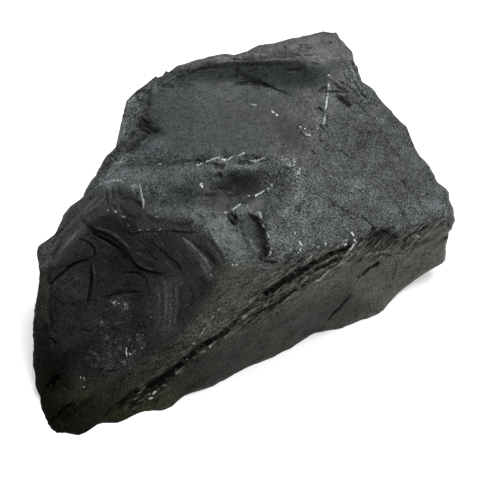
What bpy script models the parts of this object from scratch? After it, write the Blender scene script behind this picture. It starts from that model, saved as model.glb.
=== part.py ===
"""A raw block of shungite: one solid stone, lying on a flat broken face.

The stone starts as a block split along its fracture faces. Two steps are then broken out
of the roof, shell-shaped scars are struck out of the sides, cracks are opened, and the
whole skin gets the unevenness of broken stone. Last, the face it lies on is levelled.

+X runs along the long front face, +Y to the back, +Z up. The origin is on the surface
the stone lies on, under the middle of its box. Sizes are in millimetres until the mesh
is made, and angles are in degrees.
"""

import math
import random

import bmesh
import bpy
import numpy as np
from mathutils import Matrix, Vector, noise

MM = 0.001
NAME = "shungite_stone"
SEED = 11

# A face is the bearing of its outward normal from +X towards +Y, the rise of that normal
# above the horizontal, and a point on the face.
BLOCK_SIZE = (260, 200, 240)
FACES = {
    "roof_right": (-79, 52.5, (79, 42, 107.5)),
    "crest": (120, 84, (40, 52, 107)),
    "hollow_side": (-151, 48, (-26, -25, 66)),
    "left_upper": (-171, 47, (-31, 47, 81)),
    "front_left": (-106, 12.5, (-26, -25.6, 66)),
    "front_band": (-97, 3, (-13, -36.4, 0)),
    "front_right": (-90, 6, (30, -37, 55)),
    "front_under": (-75, -45, (60, -49, 6)),
    "right_end": (0, 17, (101, -20, 57)),
    "right_lower": (5, -5, (103, -35, 30)),
    "back": (75, 4, (30, 57, 106)),
    "back_left": (112, 12, (-57, 56, 60)),
    "back_right": (50, 10, (84, 50, 100)),
    "toe": (150, 12, (-104, 22, 10)),
    "toe_end": (165, 4, (-112, -5, 0)),
}

# Steps broken out of the roof: the level face each one leaves, and the wall behind it.
STEPS = {
    "front_step": ((-131, 76, (-38, 14, 72)), (-118, 42, (-2, 15, 84))),
    "crest_step": ((-105, 71, (-9, 18, 84)), (-118, 28, (37, 46, 105))),
}

# Shell-shaped scars: the deepest point, the bearing and rise the scar opens towards, and
# its radii: in depth, level and up the slope.
SCARS = {
    "hollow": ((-54, 5, 32), (-152, 46), (82, 82, 82)),
    "trough": ((1, 3, 72.5), (-112, 55), (16, 36, 17)),
    "pocket": ((-3, -17.5, 66.6), (-170, 45), (10, 15, 9)),
    "lip_pocket": ((55, -35, 50), (-92, 25), (12, 14, 9)),
    "peak_side": ((87, 19, 90), (10, 20), (28, 28, 18)),
    "back_shell": ((28, 50, 45), (80, -5), (70, 80, 60)),
    "back_low_shell": ((-32, 66, 24), (105, -15), (60, 70, 50)),
    "back_top_shell": ((-6, 60, 66), (98, 0), (44, 34, 24)),
    "end_low_shell": ((100, -12, 14), (-5, -20), (30, 36, 20)),
    "right_shell": ((97, 10, 40), (10, 10), (60, 50, 45)),
    "toe_notch": ((-104, -1, 12), (-165, 30), (7, 5, 6)),
}
SCAR_SEGMENTS = 96

# Cracks: the bearing and rise each one opens towards, depth, half width, and points
# along it.
CRACKS = {
    "front_seam": (
        (-100, 8),
        4.4,
        6.0,
        [(35, -37, 53), (7, -37, 53), (-8, -35, 47), (-22, -33, 38), (-56, -28, 21), (-70, -24, 13)],
    ),
    "hollow_crack": ((-152, 46), 2.0, 3.5, [(-56, 36, 54), (-49, 22, 49), (-44, 8, 43), (-38, 1, 45)]),
    "crest_crack": ((-110, 55), 2.0, 3.5, [(37, 42, 96), (41, 37, 95), (46, 28, 92)]),
}
CRACK_TURN = 0.5  # a crack keeps to skin turned its way by at least this cosine

CELL = 1.6  # size of the cells the cut block is rebuilt from
EDGE_WEAR_ROUNDS = 4  # smoothing rounds that take the knife edge off the cuts
SWELL = (1.4, 38.0)  # broad unevenness of every face: height and wavelength
SWELL_OCTAVES = 2
LUMPS = (0.8, 12.0)  # lumps and pits of the broken skin: height and wavelength
LUMP_OCTAVES = 3
NOISE_FALL = 0.9  # how fast the finer waves of the unevenness die away
BEDDING = (-0.34, 0.0, 0.94)  # direction across the layers, which dip along the front seam
LEDGE_HEIGHT = 1.8  # layers stand this proud on the faces that cut across them
LEDGE_SPACING = 13.0
LEDGE_RUN = 34.0  # how far a ledge runs before it dies out
LEDGE_COVER = 0.2  # added share of the skin that has ledges
LEDGE_MEAN = 1 / 3  # mean of the ledge profile, taken off so that the stone keeps its size

CHIP_COUNT = 38
CHIP_RADII = (14.0, 55.0)
CHIP_DEPTHS = (1.0, 3.0)
CHIP_SIDE = (0.5, 0.75, -0.5)  # the chips sit on the faces turned this way
CHIP_TURN = 0.3  # least cosine between a chipped face and that way

TRIANGLES = 9600
UNDERSIDE_SPARE = 8  # stone kept under the resting face until it is levelled
WELD = 0.0001  # metres

STONE_COLOUR = (0.05, 0.052, 0.053, 1.0)
STONE_ROUGHNESS = 0.55
SHARP_ANGLE = 24


def direction(bearing, rise):
    """Unit vector at a bearing and a rise."""
    turn = math.radians(bearing)
    lift = math.radians(rise)
    return Vector((math.cos(lift) * math.cos(turn), math.cos(lift) * math.sin(turn), math.sin(lift)))


def new_collection(name):
    collection = bpy.data.collections.new(name)
    bpy.context.scene.collection.children.link(collection)
    return collection


def new_object(name, bm, collection):
    mesh = bpy.data.meshes.new(name)
    bm.to_mesh(mesh)
    bm.free()
    made = bpy.data.objects.new(name, mesh)
    collection.objects.link(made)
    return made


def split(bm, normal, on_face):
    """Break off what lies outside a face and close the block again."""
    everything = bm.verts[:] + bm.edges[:] + bm.faces[:]
    cut = bmesh.ops.bisect_plane(
        bm, geom=everything, plane_co=Vector(on_face) * MM, plane_no=normal, clear_outer=True
    )
    rim = [item for item in cut["geom_cut"] if isinstance(item, bmesh.types.BMEdge)]
    bmesh.ops.edgeloop_fill(bm, edges=rim)


def split_block(faces):
    """A block of stone split along each face."""
    bm = bmesh.new()
    size = Matrix.Diagonal((*BLOCK_SIZE, 1 / MM)) * MM
    bmesh.ops.create_cube(bm, size=1.0, matrix=size)
    for normal, on_face in faces:
        split(bm, normal, on_face)
    return bm


def step_cutter(name, level, wall, collection):
    """The stone missing above a level face and in front of the wall behind it."""
    sides = [(-direction(bearing, rise), on_face) for bearing, rise, on_face in (level, wall)]
    return new_object(name, split_block(sides), collection)


def scar_cutter(name, deepest, opens, radii, collection):
    """A shell that touches the scar's deepest point."""
    out = direction(*opens)
    level = direction(opens[0] + 90, 0)
    up = out.cross(level)
    turn = Matrix((out, level, up)).transposed()
    centre = Vector(deepest) + out * radii[0]
    place = Matrix.LocRotScale(centre * MM, turn.to_quaternion(), Vector(radii) * MM)
    bm = bmesh.new()
    bmesh.ops.create_uvsphere(
        bm, u_segments=SCAR_SEGMENTS, v_segments=SCAR_SEGMENTS // 2, radius=1.0, matrix=place
    )
    return new_object(name, bm, collection)


def cut_away(stone, cutter):
    cut = stone.modifiers.new(cutter.name, "BOOLEAN")
    cut.operation = "DIFFERENCE"
    cut.solver = "EXACT"
    cut.object = cutter
    cutter.hide_render = True
    cutter.display_type = "WIRE"


def bake(stone):
    """Replace the stone's mesh by what its modifiers make of it."""
    graph = bpy.context.evaluated_depsgraph_get()
    mesh = bpy.data.meshes.new_from_object(stone.evaluated_get(graph))
    stone.modifiers.clear()
    stone.data = mesh


def crack_depth(points, normals, opens, depth, half_width, way):
    """How far each point sinks into a crack, deepest along the way's own line."""
    out = np.array(direction(*opens))
    across = np.eye(3) - np.outer(out, out)  # flattens along the way the crack opens
    flat = points @ across
    corners = np.array(way, float) @ across
    nearest = np.full(len(points), np.inf)
    for start, end in zip(corners[:-1], corners[1:]):
        along = end - start
        share = np.clip((flat - start) @ along / (along @ along), 0, 1)
        away = np.linalg.norm(flat - start - share[:, None] * along, axis=1)
        nearest = np.minimum(nearest, away)
    fall = np.clip(1 - (nearest / half_width) ** 2, 0, 1)
    return np.where(normals @ out > CRACK_TURN, depth * fall, 0.0)


def waves(points, wavelength, octaves):
    """Rounded unevenness of about unit height."""
    return np.array([noise.fractal(Vector(p) / wavelength, NOISE_FALL, 2.0, octaves) for p in points])


def ledges(points, normals):
    """Layers that stand proud one after the other where a face cuts across them."""
    across = np.array(BEDDING)
    wander = waves(points, LEDGE_RUN, LUMP_OCTAVES)
    layer = (points @ across / LEDGE_SPACING + wander) % 1.0
    steepness = 1 - np.abs(normals @ across)
    patch = np.clip(waves(points + LEDGE_RUN, LEDGE_RUN, SWELL_OCTAVES) + LEDGE_COVER, 0, 1)
    return LEDGE_HEIGHT * patch * steepness * (layer * layer - LEDGE_MEAN)


def strike_chips(points, normals):
    """Push the points inside each chip back onto the chip's shell."""
    dice = random.Random(SEED)
    turned = np.flatnonzero(normals @ np.array(CHIP_SIDE) > CHIP_TURN)
    low = points[turned].min(axis=0)
    high = points[turned].max(axis=0)
    for _ in range(CHIP_COUNT):
        aim = np.array([dice.uniform(*span) for span in zip(low, high)])
        struck = turned[np.argmin(np.linalg.norm(points[turned] - aim, axis=1))]
        radius = dice.uniform(*CHIP_RADII)
        depth = dice.uniform(*CHIP_DEPTHS)
        centre = points[struck] + normals[struck] * (radius - depth)
        away = points - centre
        reach = np.linalg.norm(away, axis=1)
        inside = reach < radius
        points[inside] = centre + away[inside] * (radius / reach[inside])[:, None]
    return points


def roughen(stone):
    """Give the cut block its swells, lumps, ledges, cracks and chips."""
    mesh = stone.data
    points = np.array([vertex.co for vertex in mesh.vertices]) / MM
    normals = np.array([vertex.normal for vertex in mesh.vertices])
    rise = ledges(points, normals)
    for (height, wavelength), octaves in ((SWELL, SWELL_OCTAVES), (LUMPS, LUMP_OCTAVES)):
        rise += height * waves(points, wavelength, octaves)
    for crack in CRACKS.values():
        rise -= crack_depth(points, normals, *crack)
    points = strike_chips(points + normals * rise[:, None], normals)
    mesh.vertices.foreach_set("co", (points * MM).ravel())


def level_underside(stone):
    """Level the face the stone lies on and put the origin under its middle."""
    bm = bmesh.new()
    bm.from_mesh(stone.data)
    split(bm, Vector((0, 0, -1)), (0, 0, 0))
    bmesh.ops.triangulate(bm, faces=bm.faces[:])
    bmesh.ops.dissolve_degenerate(bm, edges=bm.edges[:], dist=WELD)
    places = np.array([vertex.co for vertex in bm.verts])
    middle = (places.min(axis=0) + places.max(axis=0)) / 2
    bmesh.ops.translate(bm, verts=bm.verts[:], vec=(-middle[0], -middle[1], 0))
    bm.to_mesh(stone.data)
    bm.free()


def stone_material():
    material = bpy.data.materials.new("shungite")
    material.use_nodes = True
    surface = material.node_tree.nodes["Principled BSDF"]
    surface.inputs["Base Color"].default_value = STONE_COLOUR
    surface.inputs["Roughness"].default_value = STONE_ROUGHNESS
    surface.inputs["Metallic"].default_value = 0.0
    return material


def build():
    parts = new_collection("shungite_specimen")
    cutters = new_collection("cutters")
    faces = [(direction(bearing, rise), on_face) for bearing, rise, on_face in FACES.values()]
    faces.append((Vector((0, 0, -1)), (0, 0, -UNDERSIDE_SPARE)))
    stone = new_object(NAME, split_block(faces), parts)
    for name, (level, wall) in STEPS.items():
        cut_away(stone, step_cutter(name, level, wall, cutters))
    for name, (deepest, opens, radii) in SCARS.items():
        cut_away(stone, scar_cutter(name, deepest, opens, radii, cutters))
    cells = stone.modifiers.new("cells", "REMESH")
    cells.mode = "VOXEL"
    cells.voxel_size = CELL * MM
    wear = stone.modifiers.new("wear", "SMOOTH")
    wear.iterations = EDGE_WEAR_ROUNDS
    bake(stone)
    roughen(stone)
    fewer = stone.modifiers.new("fewer", "DECIMATE")
    fewer.ratio = TRIANGLES / (2 * len(stone.data.polygons))
    bake(stone)
    level_underside(stone)
    stone.data.shade_smooth()
    stone.data.set_sharp_from_angle(angle=math.radians(SHARP_ANGLE))
    stone.data.materials.append(stone_material())


for old in list(bpy.data.objects):
    bpy.data.objects.remove(old)
build()
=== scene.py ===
import math
import random

import bmesh
import bpy
import numpy as np
from mathutils import Matrix, Vector, noise
from mathutils.bvhtree import BVHTree


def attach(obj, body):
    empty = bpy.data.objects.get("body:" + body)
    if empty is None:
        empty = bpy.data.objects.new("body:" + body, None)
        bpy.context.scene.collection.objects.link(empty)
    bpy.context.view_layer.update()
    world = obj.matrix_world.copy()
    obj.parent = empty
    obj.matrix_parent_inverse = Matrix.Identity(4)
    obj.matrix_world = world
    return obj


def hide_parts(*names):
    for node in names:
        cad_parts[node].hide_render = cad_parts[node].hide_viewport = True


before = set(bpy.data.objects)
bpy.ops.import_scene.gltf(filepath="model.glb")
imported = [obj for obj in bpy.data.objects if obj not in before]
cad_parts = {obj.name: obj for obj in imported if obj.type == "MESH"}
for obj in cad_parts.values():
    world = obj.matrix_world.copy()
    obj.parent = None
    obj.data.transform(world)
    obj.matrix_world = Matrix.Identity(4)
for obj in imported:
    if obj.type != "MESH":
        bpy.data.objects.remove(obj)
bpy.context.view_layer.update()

# The stone is shaped in millimetres, in the same frame as the CAD source, whose origin is
# here in that frame. The finished skin is moved onto the CAD part at the end.
MM = 0.001
ORIGIN = (-2.634, 15.771, 0.0)
SEED = 11

# ---------------------------------------------------------------------------------------
# The stone's main forms, the same as in the CAD source
# ---------------------------------------------------------------------------------------

# A face: the bearing of its outward normal from +X towards +Y, its rise, and a point on it.
BLOCK_SIZE = (260, 200, 240)
FACES = {
    "roof_right": (-79, 52.5, (79, 42, 107.5)),
    "crest": (120, 84, (40, 52, 107)),
    "hollow_side": (-151, 48, (-26, -25, 66)),
    "left_upper": (-171, 47, (-31, 47, 81)),
    "front_left": (-106, 12.5, (-26, -25.6, 66)),
    "front_band": (-97, 3, (-13, -36.4, 0)),
    "front_right": (-90, 6, (30, -37, 55)),
    "front_under": (-75, -45, (60, -49, 6)),
    "right_end": (0, 17, (101, -20, 57)),
    "right_lower": (5, -5, (103, -35, 30)),
    "back": (75, 4, (30, 57, 106)),
    "back_left": (112, 12, (-57, 56, 60)),
    "back_right": (50, 10, (84, 50, 100)),
    "toe": (150, 12, (-104, 22, 10)),
    "toe_end": (165, 4, (-112, -5, 0)),
}
STEPS = {
    "front_step": ((-131, 76, (-38, 14, 72)), (-118, 42, (-2, 15, 84))),
    "crest_step": ((-105, 71, (-9, 18, 84)), (-118, 28, (37, 46, 105))),
}
SCARS = {
    "hollow": ((-54, 5, 32), (-152, 46), (82, 82, 82)),
    "trough": ((1, 3, 72.5), (-112, 55), (16, 36, 17)),
    "pocket": ((-3, -17.5, 66.6), (-170, 45), (10, 15, 9)),
    "lip_pocket": ((55, -35, 50), (-92, 25), (12, 14, 9)),
    "peak_side": ((87, 19, 90), (10, 20), (28, 28, 18)),
    "back_shell": ((28, 50, 45), (80, -5), (70, 80, 60)),
    "back_low_shell": ((-32, 66, 24), (105, -15), (60, 70, 50)),
    "back_top_shell": ((-6, 60, 66), (98, 0), (44, 34, 24)),
    "end_low_shell": ((100, -12, 14), (-5, -20), (30, 36, 20)),
    "right_shell": ((97, 10, 40), (10, 10), (60, 50, 45)),
    "toe_notch": ((-104, -1, 12), (-165, 30), (7, 5, 6)),
}
SCAR_SEGMENTS = 128
UNDERSIDE_SPARE = 8

# The even cells that the cut block is rebuilt from, how often they are smoothed, and how many
# times they are then divided.
CELL = 1.5
WEAR_ROUNDS = 5
FINER = 2

# Unevenness over the whole skin, as height and wavelength, and how it falls with each octave.
SWELL = (1.4, 38.0)
SWELL_OCTAVES = 2
LUMPS = (0.8, 12.0)
LUMP_OCTAVES = 3
NOISE_FALL = 0.9
STREAK_OCTAVES = 3

# The direction across the rock's layers, and the ledges where layers have broken off.
BEDDING = (-0.34, 0.0, 0.94)
LEDGE_HEIGHT = 1.8
LEDGE_SPACING = 13.0
LEDGE_RUN = 34.0
LEDGE_COVER = 0.2
LEDGE_MEAN = 1 / 3

# Chips on the hidden sides: their sizes, the box that they are aimed at, and the direction
# that they are struck from. They begin a margin behind the outline and are in full force at
# the end of the fade, both counted in edges of the skin.
CHIP_COUNT = 38
CHIP_RADII = (14.0, 55.0)
CHIP_DEPTHS = (1.0, 3.0)
CHIP_BOX = ((-105, 105), (-70, 50), (0, 110))
CHIP_SIDE = (0.5, 0.75, -0.5)
CHIP_TURN = 0.3
CHIP_MARGIN = 5
CHIP_FADE = 56

# Areas with less of that unevenness: the share taken away, and the outline in the picture.
CALM_EDGE = 8
CALM = {
    "crest_left": (0.25, "138,104 142,84 160,68 200,50 222,50 214,66 188,74 168,82 154,98"),
    "floor": (0.75,
        "146,92 200,94 240,90 264,92 288,99 306,118 300,146 262,157 240,152 200,158 165,161 "
        "128,162 140,142 152,122 146,108"),
    "roof": (0.45,
        "180,200 262,162 306,150 330,90 350,110 400,120 450,205 400,232 300,260 262,262 214,240"),
    "front": (0.6,
        "110,420 150,402 214,350 284,308 346,272 430,246 450,262 400,300 300,345 180,405 "
        "130,424"),
    "upper_front": (0.5, "222,266 268,272 300,262 262,290 200,340 150,372 60,420 100,392 170,345"),
}

# The finished skin's triangles, the share of them kept where it is hidden, how readily points
# away from the drawn lines go, and how many edges past what is seen the skin stays fine.
MOST_TRIANGLES = 196000
HIDDEN_KEPT = 0.035
PLAIN_THINNED = 0.85
EDGE_RINGS = 14

# ---------------------------------------------------------------------------------------
# The camera, and where a point falls in its 480 by 480 picture
# ---------------------------------------------------------------------------------------

PICTURE = 480
CAMERA_BEARING = -34
CAMERA_RISE = 45
CAMERA_AWAY = 345
CAMERA_AIM = (0, 0, 45)
LENS = 55
SENSOR = 36


def camera_axes():
    """The camera's right, up and back directions."""
    turn = math.radians(CAMERA_BEARING)
    rise = math.radians(CAMERA_RISE)
    back = np.array(
        (math.sin(turn) * math.cos(rise), -math.cos(turn) * math.cos(rise), math.sin(rise))
    )
    right = np.array((math.cos(turn), math.sin(turn), 0.0))
    return right, np.cross(back, right), back


RIGHT, UP, BACK = camera_axes()
EYE = np.array(CAMERA_AIM, float) + BACK * CAMERA_AWAY


def in_picture(points):
    """Where each point falls in the picture, in its pixels, x to the right and y down."""
    away = points - EYE
    scale = PICTURE * LENS / SENSOR / -(away @ BACK)
    return np.stack((PICTURE / 2 + scale * (away @ RIGHT), PICTURE / 2 - scale * (away @ UP)), 1)


# ---------------------------------------------------------------------------------------
# The block
# ---------------------------------------------------------------------------------------


def direction(bearing, rise):
    """The direction with this bearing from +X towards +Y and this rise, in degrees."""
    turn = math.radians(bearing)
    lift = math.radians(rise)
    level = math.cos(lift)
    return Vector((level * math.cos(turn), level * math.sin(turn), math.sin(lift)))


def new_object(name, data):
    made = bpy.data.objects.new(name, data)
    bpy.context.scene.collection.objects.link(made)
    return made


def object_from(name, bm):
    mesh = bpy.data.meshes.new(name)
    bm.to_mesh(mesh)
    bm.free()
    return new_object(name, mesh)


def split_block(faces):
    """A block split along each face, given as an outward normal and a point."""
    bm = bmesh.new()
    bmesh.ops.create_cube(bm, size=1.0, matrix=Matrix.Diagonal((*BLOCK_SIZE, 1)))
    for normal, on_face in faces:
        everything = bm.verts[:] + bm.edges[:] + bm.faces[:]
        cut = bmesh.ops.bisect_plane(
            bm, geom=everything, plane_co=Vector(on_face), plane_no=normal, clear_outer=True
        )
        rim = [item for item in cut["geom_cut"] if isinstance(item, bmesh.types.BMEdge)]
        bmesh.ops.edgeloop_fill(bm, edges=rim)
    return bm


def step_cutter(name, level, wall):
    """What a step takes away: all that is above its level face and in front of its wall."""
    sides = [(-direction(bearing, rise), on_face) for bearing, rise, on_face in (level, wall)]
    return object_from(name, split_block(sides))


def scar_centre(deepest, opens, radii):
    return Vector(deepest) + direction(*opens) * radii[0]


def scar_cutter(name, deepest, opens, radii):
    """The ball that a shell-shaped scar follows, as deepest point, opening and radii."""
    out = direction(*opens)
    level = direction(opens[0] + 90, 0)
    turn = Matrix((out, level, out.cross(level))).transposed()
    centre = scar_centre(deepest, opens, radii)
    place = Matrix.LocRotScale(centre, turn.to_quaternion(), Vector(radii))
    bm = bmesh.new()
    bmesh.ops.create_uvsphere(
        bm, u_segments=SCAR_SEGMENTS, v_segments=SCAR_SEGMENTS // 2, radius=1.0, matrix=place
    )
    return object_from(name, bm)


def bake(stone):
    """Replace the stone's mesh by what its modifiers make of it."""
    graph = bpy.context.evaluated_depsgraph_get()
    mesh = bpy.data.meshes.new_from_object(stone.evaluated_get(graph))
    stone.modifiers.clear()
    stone.data = mesh


def read_skin(mesh):
    """The skin's points and their normals."""
    points = np.empty(len(mesh.vertices) * 3)
    mesh.vertices.foreach_get("co", points)
    normals = np.empty(len(mesh.vertices) * 3)
    mesh.vertices.foreach_get("normal", normals)
    return points.reshape(-1, 3), normals.reshape(-1, 3)


def write_skin(mesh, points):
    mesh.vertices.foreach_set("co", points.ravel())
    mesh.update()


def face_list(mesh):
    return [tuple(face.vertices) for face in mesh.polygons]


def edge_ends(mesh):
    """The two points that each edge joins."""
    ends = np.empty(len(mesh.edges) * 2, int)
    mesh.edges.foreach_get("vertices", ends)
    return ends.reshape(-1, 2)


# Creases that the years have rounded off: a line in the picture, and the half width in pixels
# of the strip round it that is smoothed.
SOFT_CREASES = {
    "wall_foot": (7, "146,92 200,90 240,87 262,88 300,98 318,92"),
    "wall_end": (16, "300,98 316,88 330,78 340,70"),
    "floor_right": (26, "298,178 304,150 312,125 320,104"),
    "crest_corner": (15, "138,98 148,87 160,76 176,68"),
    "peak": (9, "318,66 328,78 340,62 345,48 320,36"),
    "trough_rim": (10, "145,200 165,205 200,209 222,214 248,204 270,188 276,172"),
    "trough_top": (9, "160,178 190,168 220,162 262,162"),
    "hollow_rim": (9,
        "62,215 75,206 100,190 115,186 140,196 147,212 185,226 205,243 221,262 214,282 200,300 "
        "184,330"),
    "front_top": (4, "222,262 250,266 268,268 290,262 330,245 358,237 390,226 440,213"),
    "left_ridge": (4, "138,95 145,110 152,122 140,140 118,155 105,172 92,190"),
}
SOFT_ROUNDS = 36
SOFT_STEP = 0.7


def soften(mesh, points, normals):
    """Smooth the points along the soft creases."""
    facing = np.einsum("ij,ij->i", EYE - points, normals) > 0
    spots = in_picture(points)
    share = np.zeros(len(points))
    for half_width, line in SOFT_CREASES.values():
        reach, _, _ = near_line(spots, line)
        share = np.maximum(share, ramp(1 - reach / half_width, 0, 0.8))
    share = (share * facing)[:, None]
    ends = edge_ends(mesh)
    ends = np.concatenate((ends, ends[:, ::-1]))
    count = np.bincount(ends[:, 0], minlength=len(points))[:, None]
    for _ in range(SOFT_ROUNDS):
        near = points[ends[:, 1]]
        sums = [np.bincount(ends[:, 0], near[:, axis], len(points)) for axis in range(3)]
        points = points + share * SOFT_STEP * (np.stack(sums, 1) / count - points)
    return points


# Bulges and dents of the outline: where in the picture, their radius, and how far they move to
# the right and down, all in pixels. Where they overlap, their mean is taken. The low ones move
# along the ground, and the trims are moves made after all of these.
PULLS = {
    "right_corner": (450, 226, 14, 2.2, 0.6),
    "right_dent": (449, 203, 9, -4.6, 2.2),
    "right_dent_high": (437, 182, 10, -3.4, 2.0),
    "shoulder_bulge": (407, 128, 14, 3.8, -2.8),
    "shoulder_dent": (374, 100, 10, -4.8, 3.2),
    "shoulder_dent_high": (363, 83, 9, -3.6, 2.2),
    "peak_dent": (341, 42, 9, -0.4, 0.6),
    "crest_fill": (217, 56, 14, -1.0, -3.2),
    "crest_bulge": (274, 42, 16, -0.2, -1.0),
    "crest_bulge_left": (184, 65, 14, -0.6, -2.0),
    "left_bulge": (127, 102, 12, -6.6, -2.8),
    "left_dent": (110, 150, 10, 5.0, 3.6),
    "left_swell": (72, 208, 16, -2.0, -1.8),
    "left_swell_low": (46, 246, 16, -7.6, -2.4),
    "left_flat": (32, 346, 20, 6.0, 0.0),
    "left_flat_low": (32, 374, 12, 3.0, -0.5),
    "notch": (43, 397, 7, 8.0, 0.0),
}
LOW_PULLS = {
    "right_low": (438, 264, 14, 3.4, 3.0),
    "front_swell": (378, 310, 18, 2.8, 4.8),
    "front_dent": (314, 335, 16, -1.4, -4.6),
    "front_left_swell": (212, 385, 24, 1.0, 3.4),
    "foot_swell": (165, 405, 18, 1.2, 5.4),
    "foot_swell_left": (120, 421, 20, 1.8, 6.0),
    "toe_swell": (84, 430, 16, 1.4, 8.0),
    "toe_corner": (50, 430, 12, -1.8, 2.2),
}
TRIMS = {
    "left_top": (123, 103, 12, 4.0, 1.4),
    "left_face": (113, 140, 17, 7.0, 4.2),
    "left_edge": (95, 168, 17, 7.2, 4.6),
    "left_edge_low": (77, 194, 17, 7.2, 4.8),
    "left_swell": (50, 236, 14, 3.0, 1.8),
}


def pixel_size(points):
    """How many mm a pixel of the picture is wide at each point."""
    away = -(points - EYE) @ BACK
    return (away * SENSOR / (PICTURE * LENS))[:, None]


def nearness(spots, x, y, radius):
    """1 at a place in the picture, and falling off within the radius."""
    return np.exp(-(((spots - (x, y)) / radius) ** 2).sum(axis=1))


def trim_outline(points):
    spots = in_picture(points)
    move = np.zeros_like(points)
    for x, y, radius, right, down in TRIMS.values():
        move += nearness(spots, x, y, radius)[:, None] * (right * RIGHT - down * UP)
    return points + move * pixel_size(points)


def pull_outline(points):
    """Move the skin so that the outline gets its bulges and dents."""
    spots = in_picture(points)
    level = np.linalg.inv(np.array([[RIGHT[0], RIGHT[1]], [UP[0], UP[1]]]))
    total = np.zeros(len(points))
    move = np.zeros_like(points)
    for low, pulls in ((False, PULLS), (True, LOW_PULLS)):
        for x, y, radius, right, down in pulls.values():
            share = nearness(spots, x, y, radius)
            if low:
                way = np.array((*(level @ (right, -down)), 0.0))
            else:
                way = right * RIGHT - down * UP
            total += share
            move += share[:, None] * way
    return trim_outline(points + move * pixel_size(points) / np.maximum(total, 1)[:, None])


def cut_block():
    """The block with its steps and scars cut, rebuilt from even cells."""
    faces = [(direction(bearing, rise), on_face) for bearing, rise, on_face in FACES.values()]
    faces.append((Vector((0, 0, -1)), (0, 0, -UNDERSIDE_SPARE)))
    stone = object_from("shungite_skin", split_block(faces))
    cutters = [step_cutter(name, *planes) for name, planes in STEPS.items()]
    cutters += [scar_cutter(name, *scar) for name, scar in SCARS.items()]
    for cutter in cutters:
        cut = stone.modifiers.new(cutter.name, "BOOLEAN")
        cut.operation = "DIFFERENCE"
        cut.object = cutter
    cells = stone.modifiers.new("cells", "REMESH")
    cells.mode = "VOXEL"
    cells.voxel_size = CELL
    wear = stone.modifiers.new("wear", "SMOOTH")
    wear.iterations = WEAR_ROUNDS
    bake(stone)
    for cutter in cutters:
        bpy.data.objects.remove(cutter)
    points, normals = read_skin(stone.data)
    write_skin(stone.data, pull_outline(soften(stone.data, points, normals)))
    finer = stone.modifiers.new("finer", "SUBSURF")
    finer.levels = FINER
    bake(stone)
    return stone


# ---------------------------------------------------------------------------------------
# The broken skin: unevenness that is the same everywhere
# ---------------------------------------------------------------------------------------


def waves(points, wavelength, octaves):
    """Rounded unevenness of about unit height."""
    scaled = points / wavelength
    return np.array([noise.fractal(Vector(p), NOISE_FALL, 2.0, octaves) for p in scaled])


def ledges(points, normals):
    """Ledges along the layers, in patches, on the faces that cut across them."""
    across = np.array(BEDDING)
    wander = waves(points, LEDGE_RUN, LUMP_OCTAVES)
    layer = (points @ across / LEDGE_SPACING + wander) % 1.0
    steepness = 1 - np.abs(normals @ across)
    patch = np.clip(waves(points + LEDGE_RUN, LEDGE_RUN, SWELL_OCTAVES) + LEDGE_COVER, 0, 1)
    return LEDGE_HEIGHT * patch * steepness * (layer * layer - LEDGE_MEAN)


def rings_from(chosen, ends, most):
    """How many edges away from the chosen points each point is, counted up to the most."""
    away = np.where(chosen, 0, most)
    for ring in range(1, most):
        reached = ends[(away[ends] == ring - 1).any(axis=1)].ravel()
        away[reached] = np.minimum(away[reached], ring)
    return away


def strike_chips(points, normals, ends):
    """Push the points inside each chip back onto the chip's shell, leaving the outline alone."""
    dice = random.Random(SEED)
    turned = np.flatnonzero(normals @ np.array(CHIP_SIDE) > CHIP_TURN)
    front = rings_from(normals @ BACK < 0, ends, CHIP_MARGIN + 1) > CHIP_MARGIN
    behind = ramp(rings_from(front, ends, CHIP_FADE), 2 * CHIP_MARGIN, CHIP_FADE)
    for _ in range(CHIP_COUNT):
        aim = np.array([dice.uniform(*span) for span in CHIP_BOX])
        struck = turned[np.argmin(np.linalg.norm(points[turned] - aim, axis=1))]
        radius = dice.uniform(*CHIP_RADII)
        depth = dice.uniform(*CHIP_DEPTHS)
        centre = points[struck] + normals[struck] * (radius - depth)
        away = points - centre
        reach = np.linalg.norm(away, axis=1)
        inside = reach < radius
        push = behind[inside] * (radius / reach[inside] - 1)
        points[inside] += away[inside] * push[:, None]
    return points


def hackles(points, size):
    """Small broken facets, each tilted its own way; about half the size high."""
    rise = np.empty(len(points))
    middle = Vector((0.5, 0.5, 0.5))
    for n, place in enumerate(points / size):
        place = Vector(place)
        nearest = noise.voronoi(place)[1][0]
        rise[n] = (place - nearest).dot(noise.cell_vector(nearest * 17) - middle)
    return rise


def streaks(points, run, wavelength):
    """Unevenness drawn out along the layers: a wavelength across them, a run along them."""
    lie = np.array(BEDDING, float)
    lie /= np.linalg.norm(lie)
    height = points @ lie
    flat = (points - height[:, None] * lie) / run
    return waves(flat + height[:, None] * lie / wavelength, 1.0, STREAK_OCTAVES)


# ---------------------------------------------------------------------------------------
# Forms placed by the picture
# ---------------------------------------------------------------------------------------


def near_line(spots, line):
    """Each spot's distance from a line of points, its side (+1 on the right hand), and how
    far along the line it lies, from 0 to 1."""
    corners = np.array([pair.split(",") for pair in line.split()], float)
    lengths = np.linalg.norm(np.diff(corners, axis=0), axis=1)
    starts = np.concatenate(([0], np.cumsum(lengths)))
    nearest = np.full(len(spots), np.inf)
    side = np.ones(len(spots))
    share = np.zeros(len(spots))
    for n, (start, end) in enumerate(zip(corners[:-1], corners[1:])):
        along = end - start
        away = spots - start
        part = np.clip(away @ along / (along @ along), 0, 1)
        reach = np.linalg.norm(away - part[:, None] * along, axis=1)
        closer = reach < nearest
        nearest[closer] = reach[closer]
        cross = along[0] * away[:, 1] - along[1] * away[:, 0]
        side[closer] = np.sign(cross[closer])
        share[closer] = (starts[n] + part[closer] * lengths[n]) / starts[-1]
    return nearest, side, share


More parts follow.
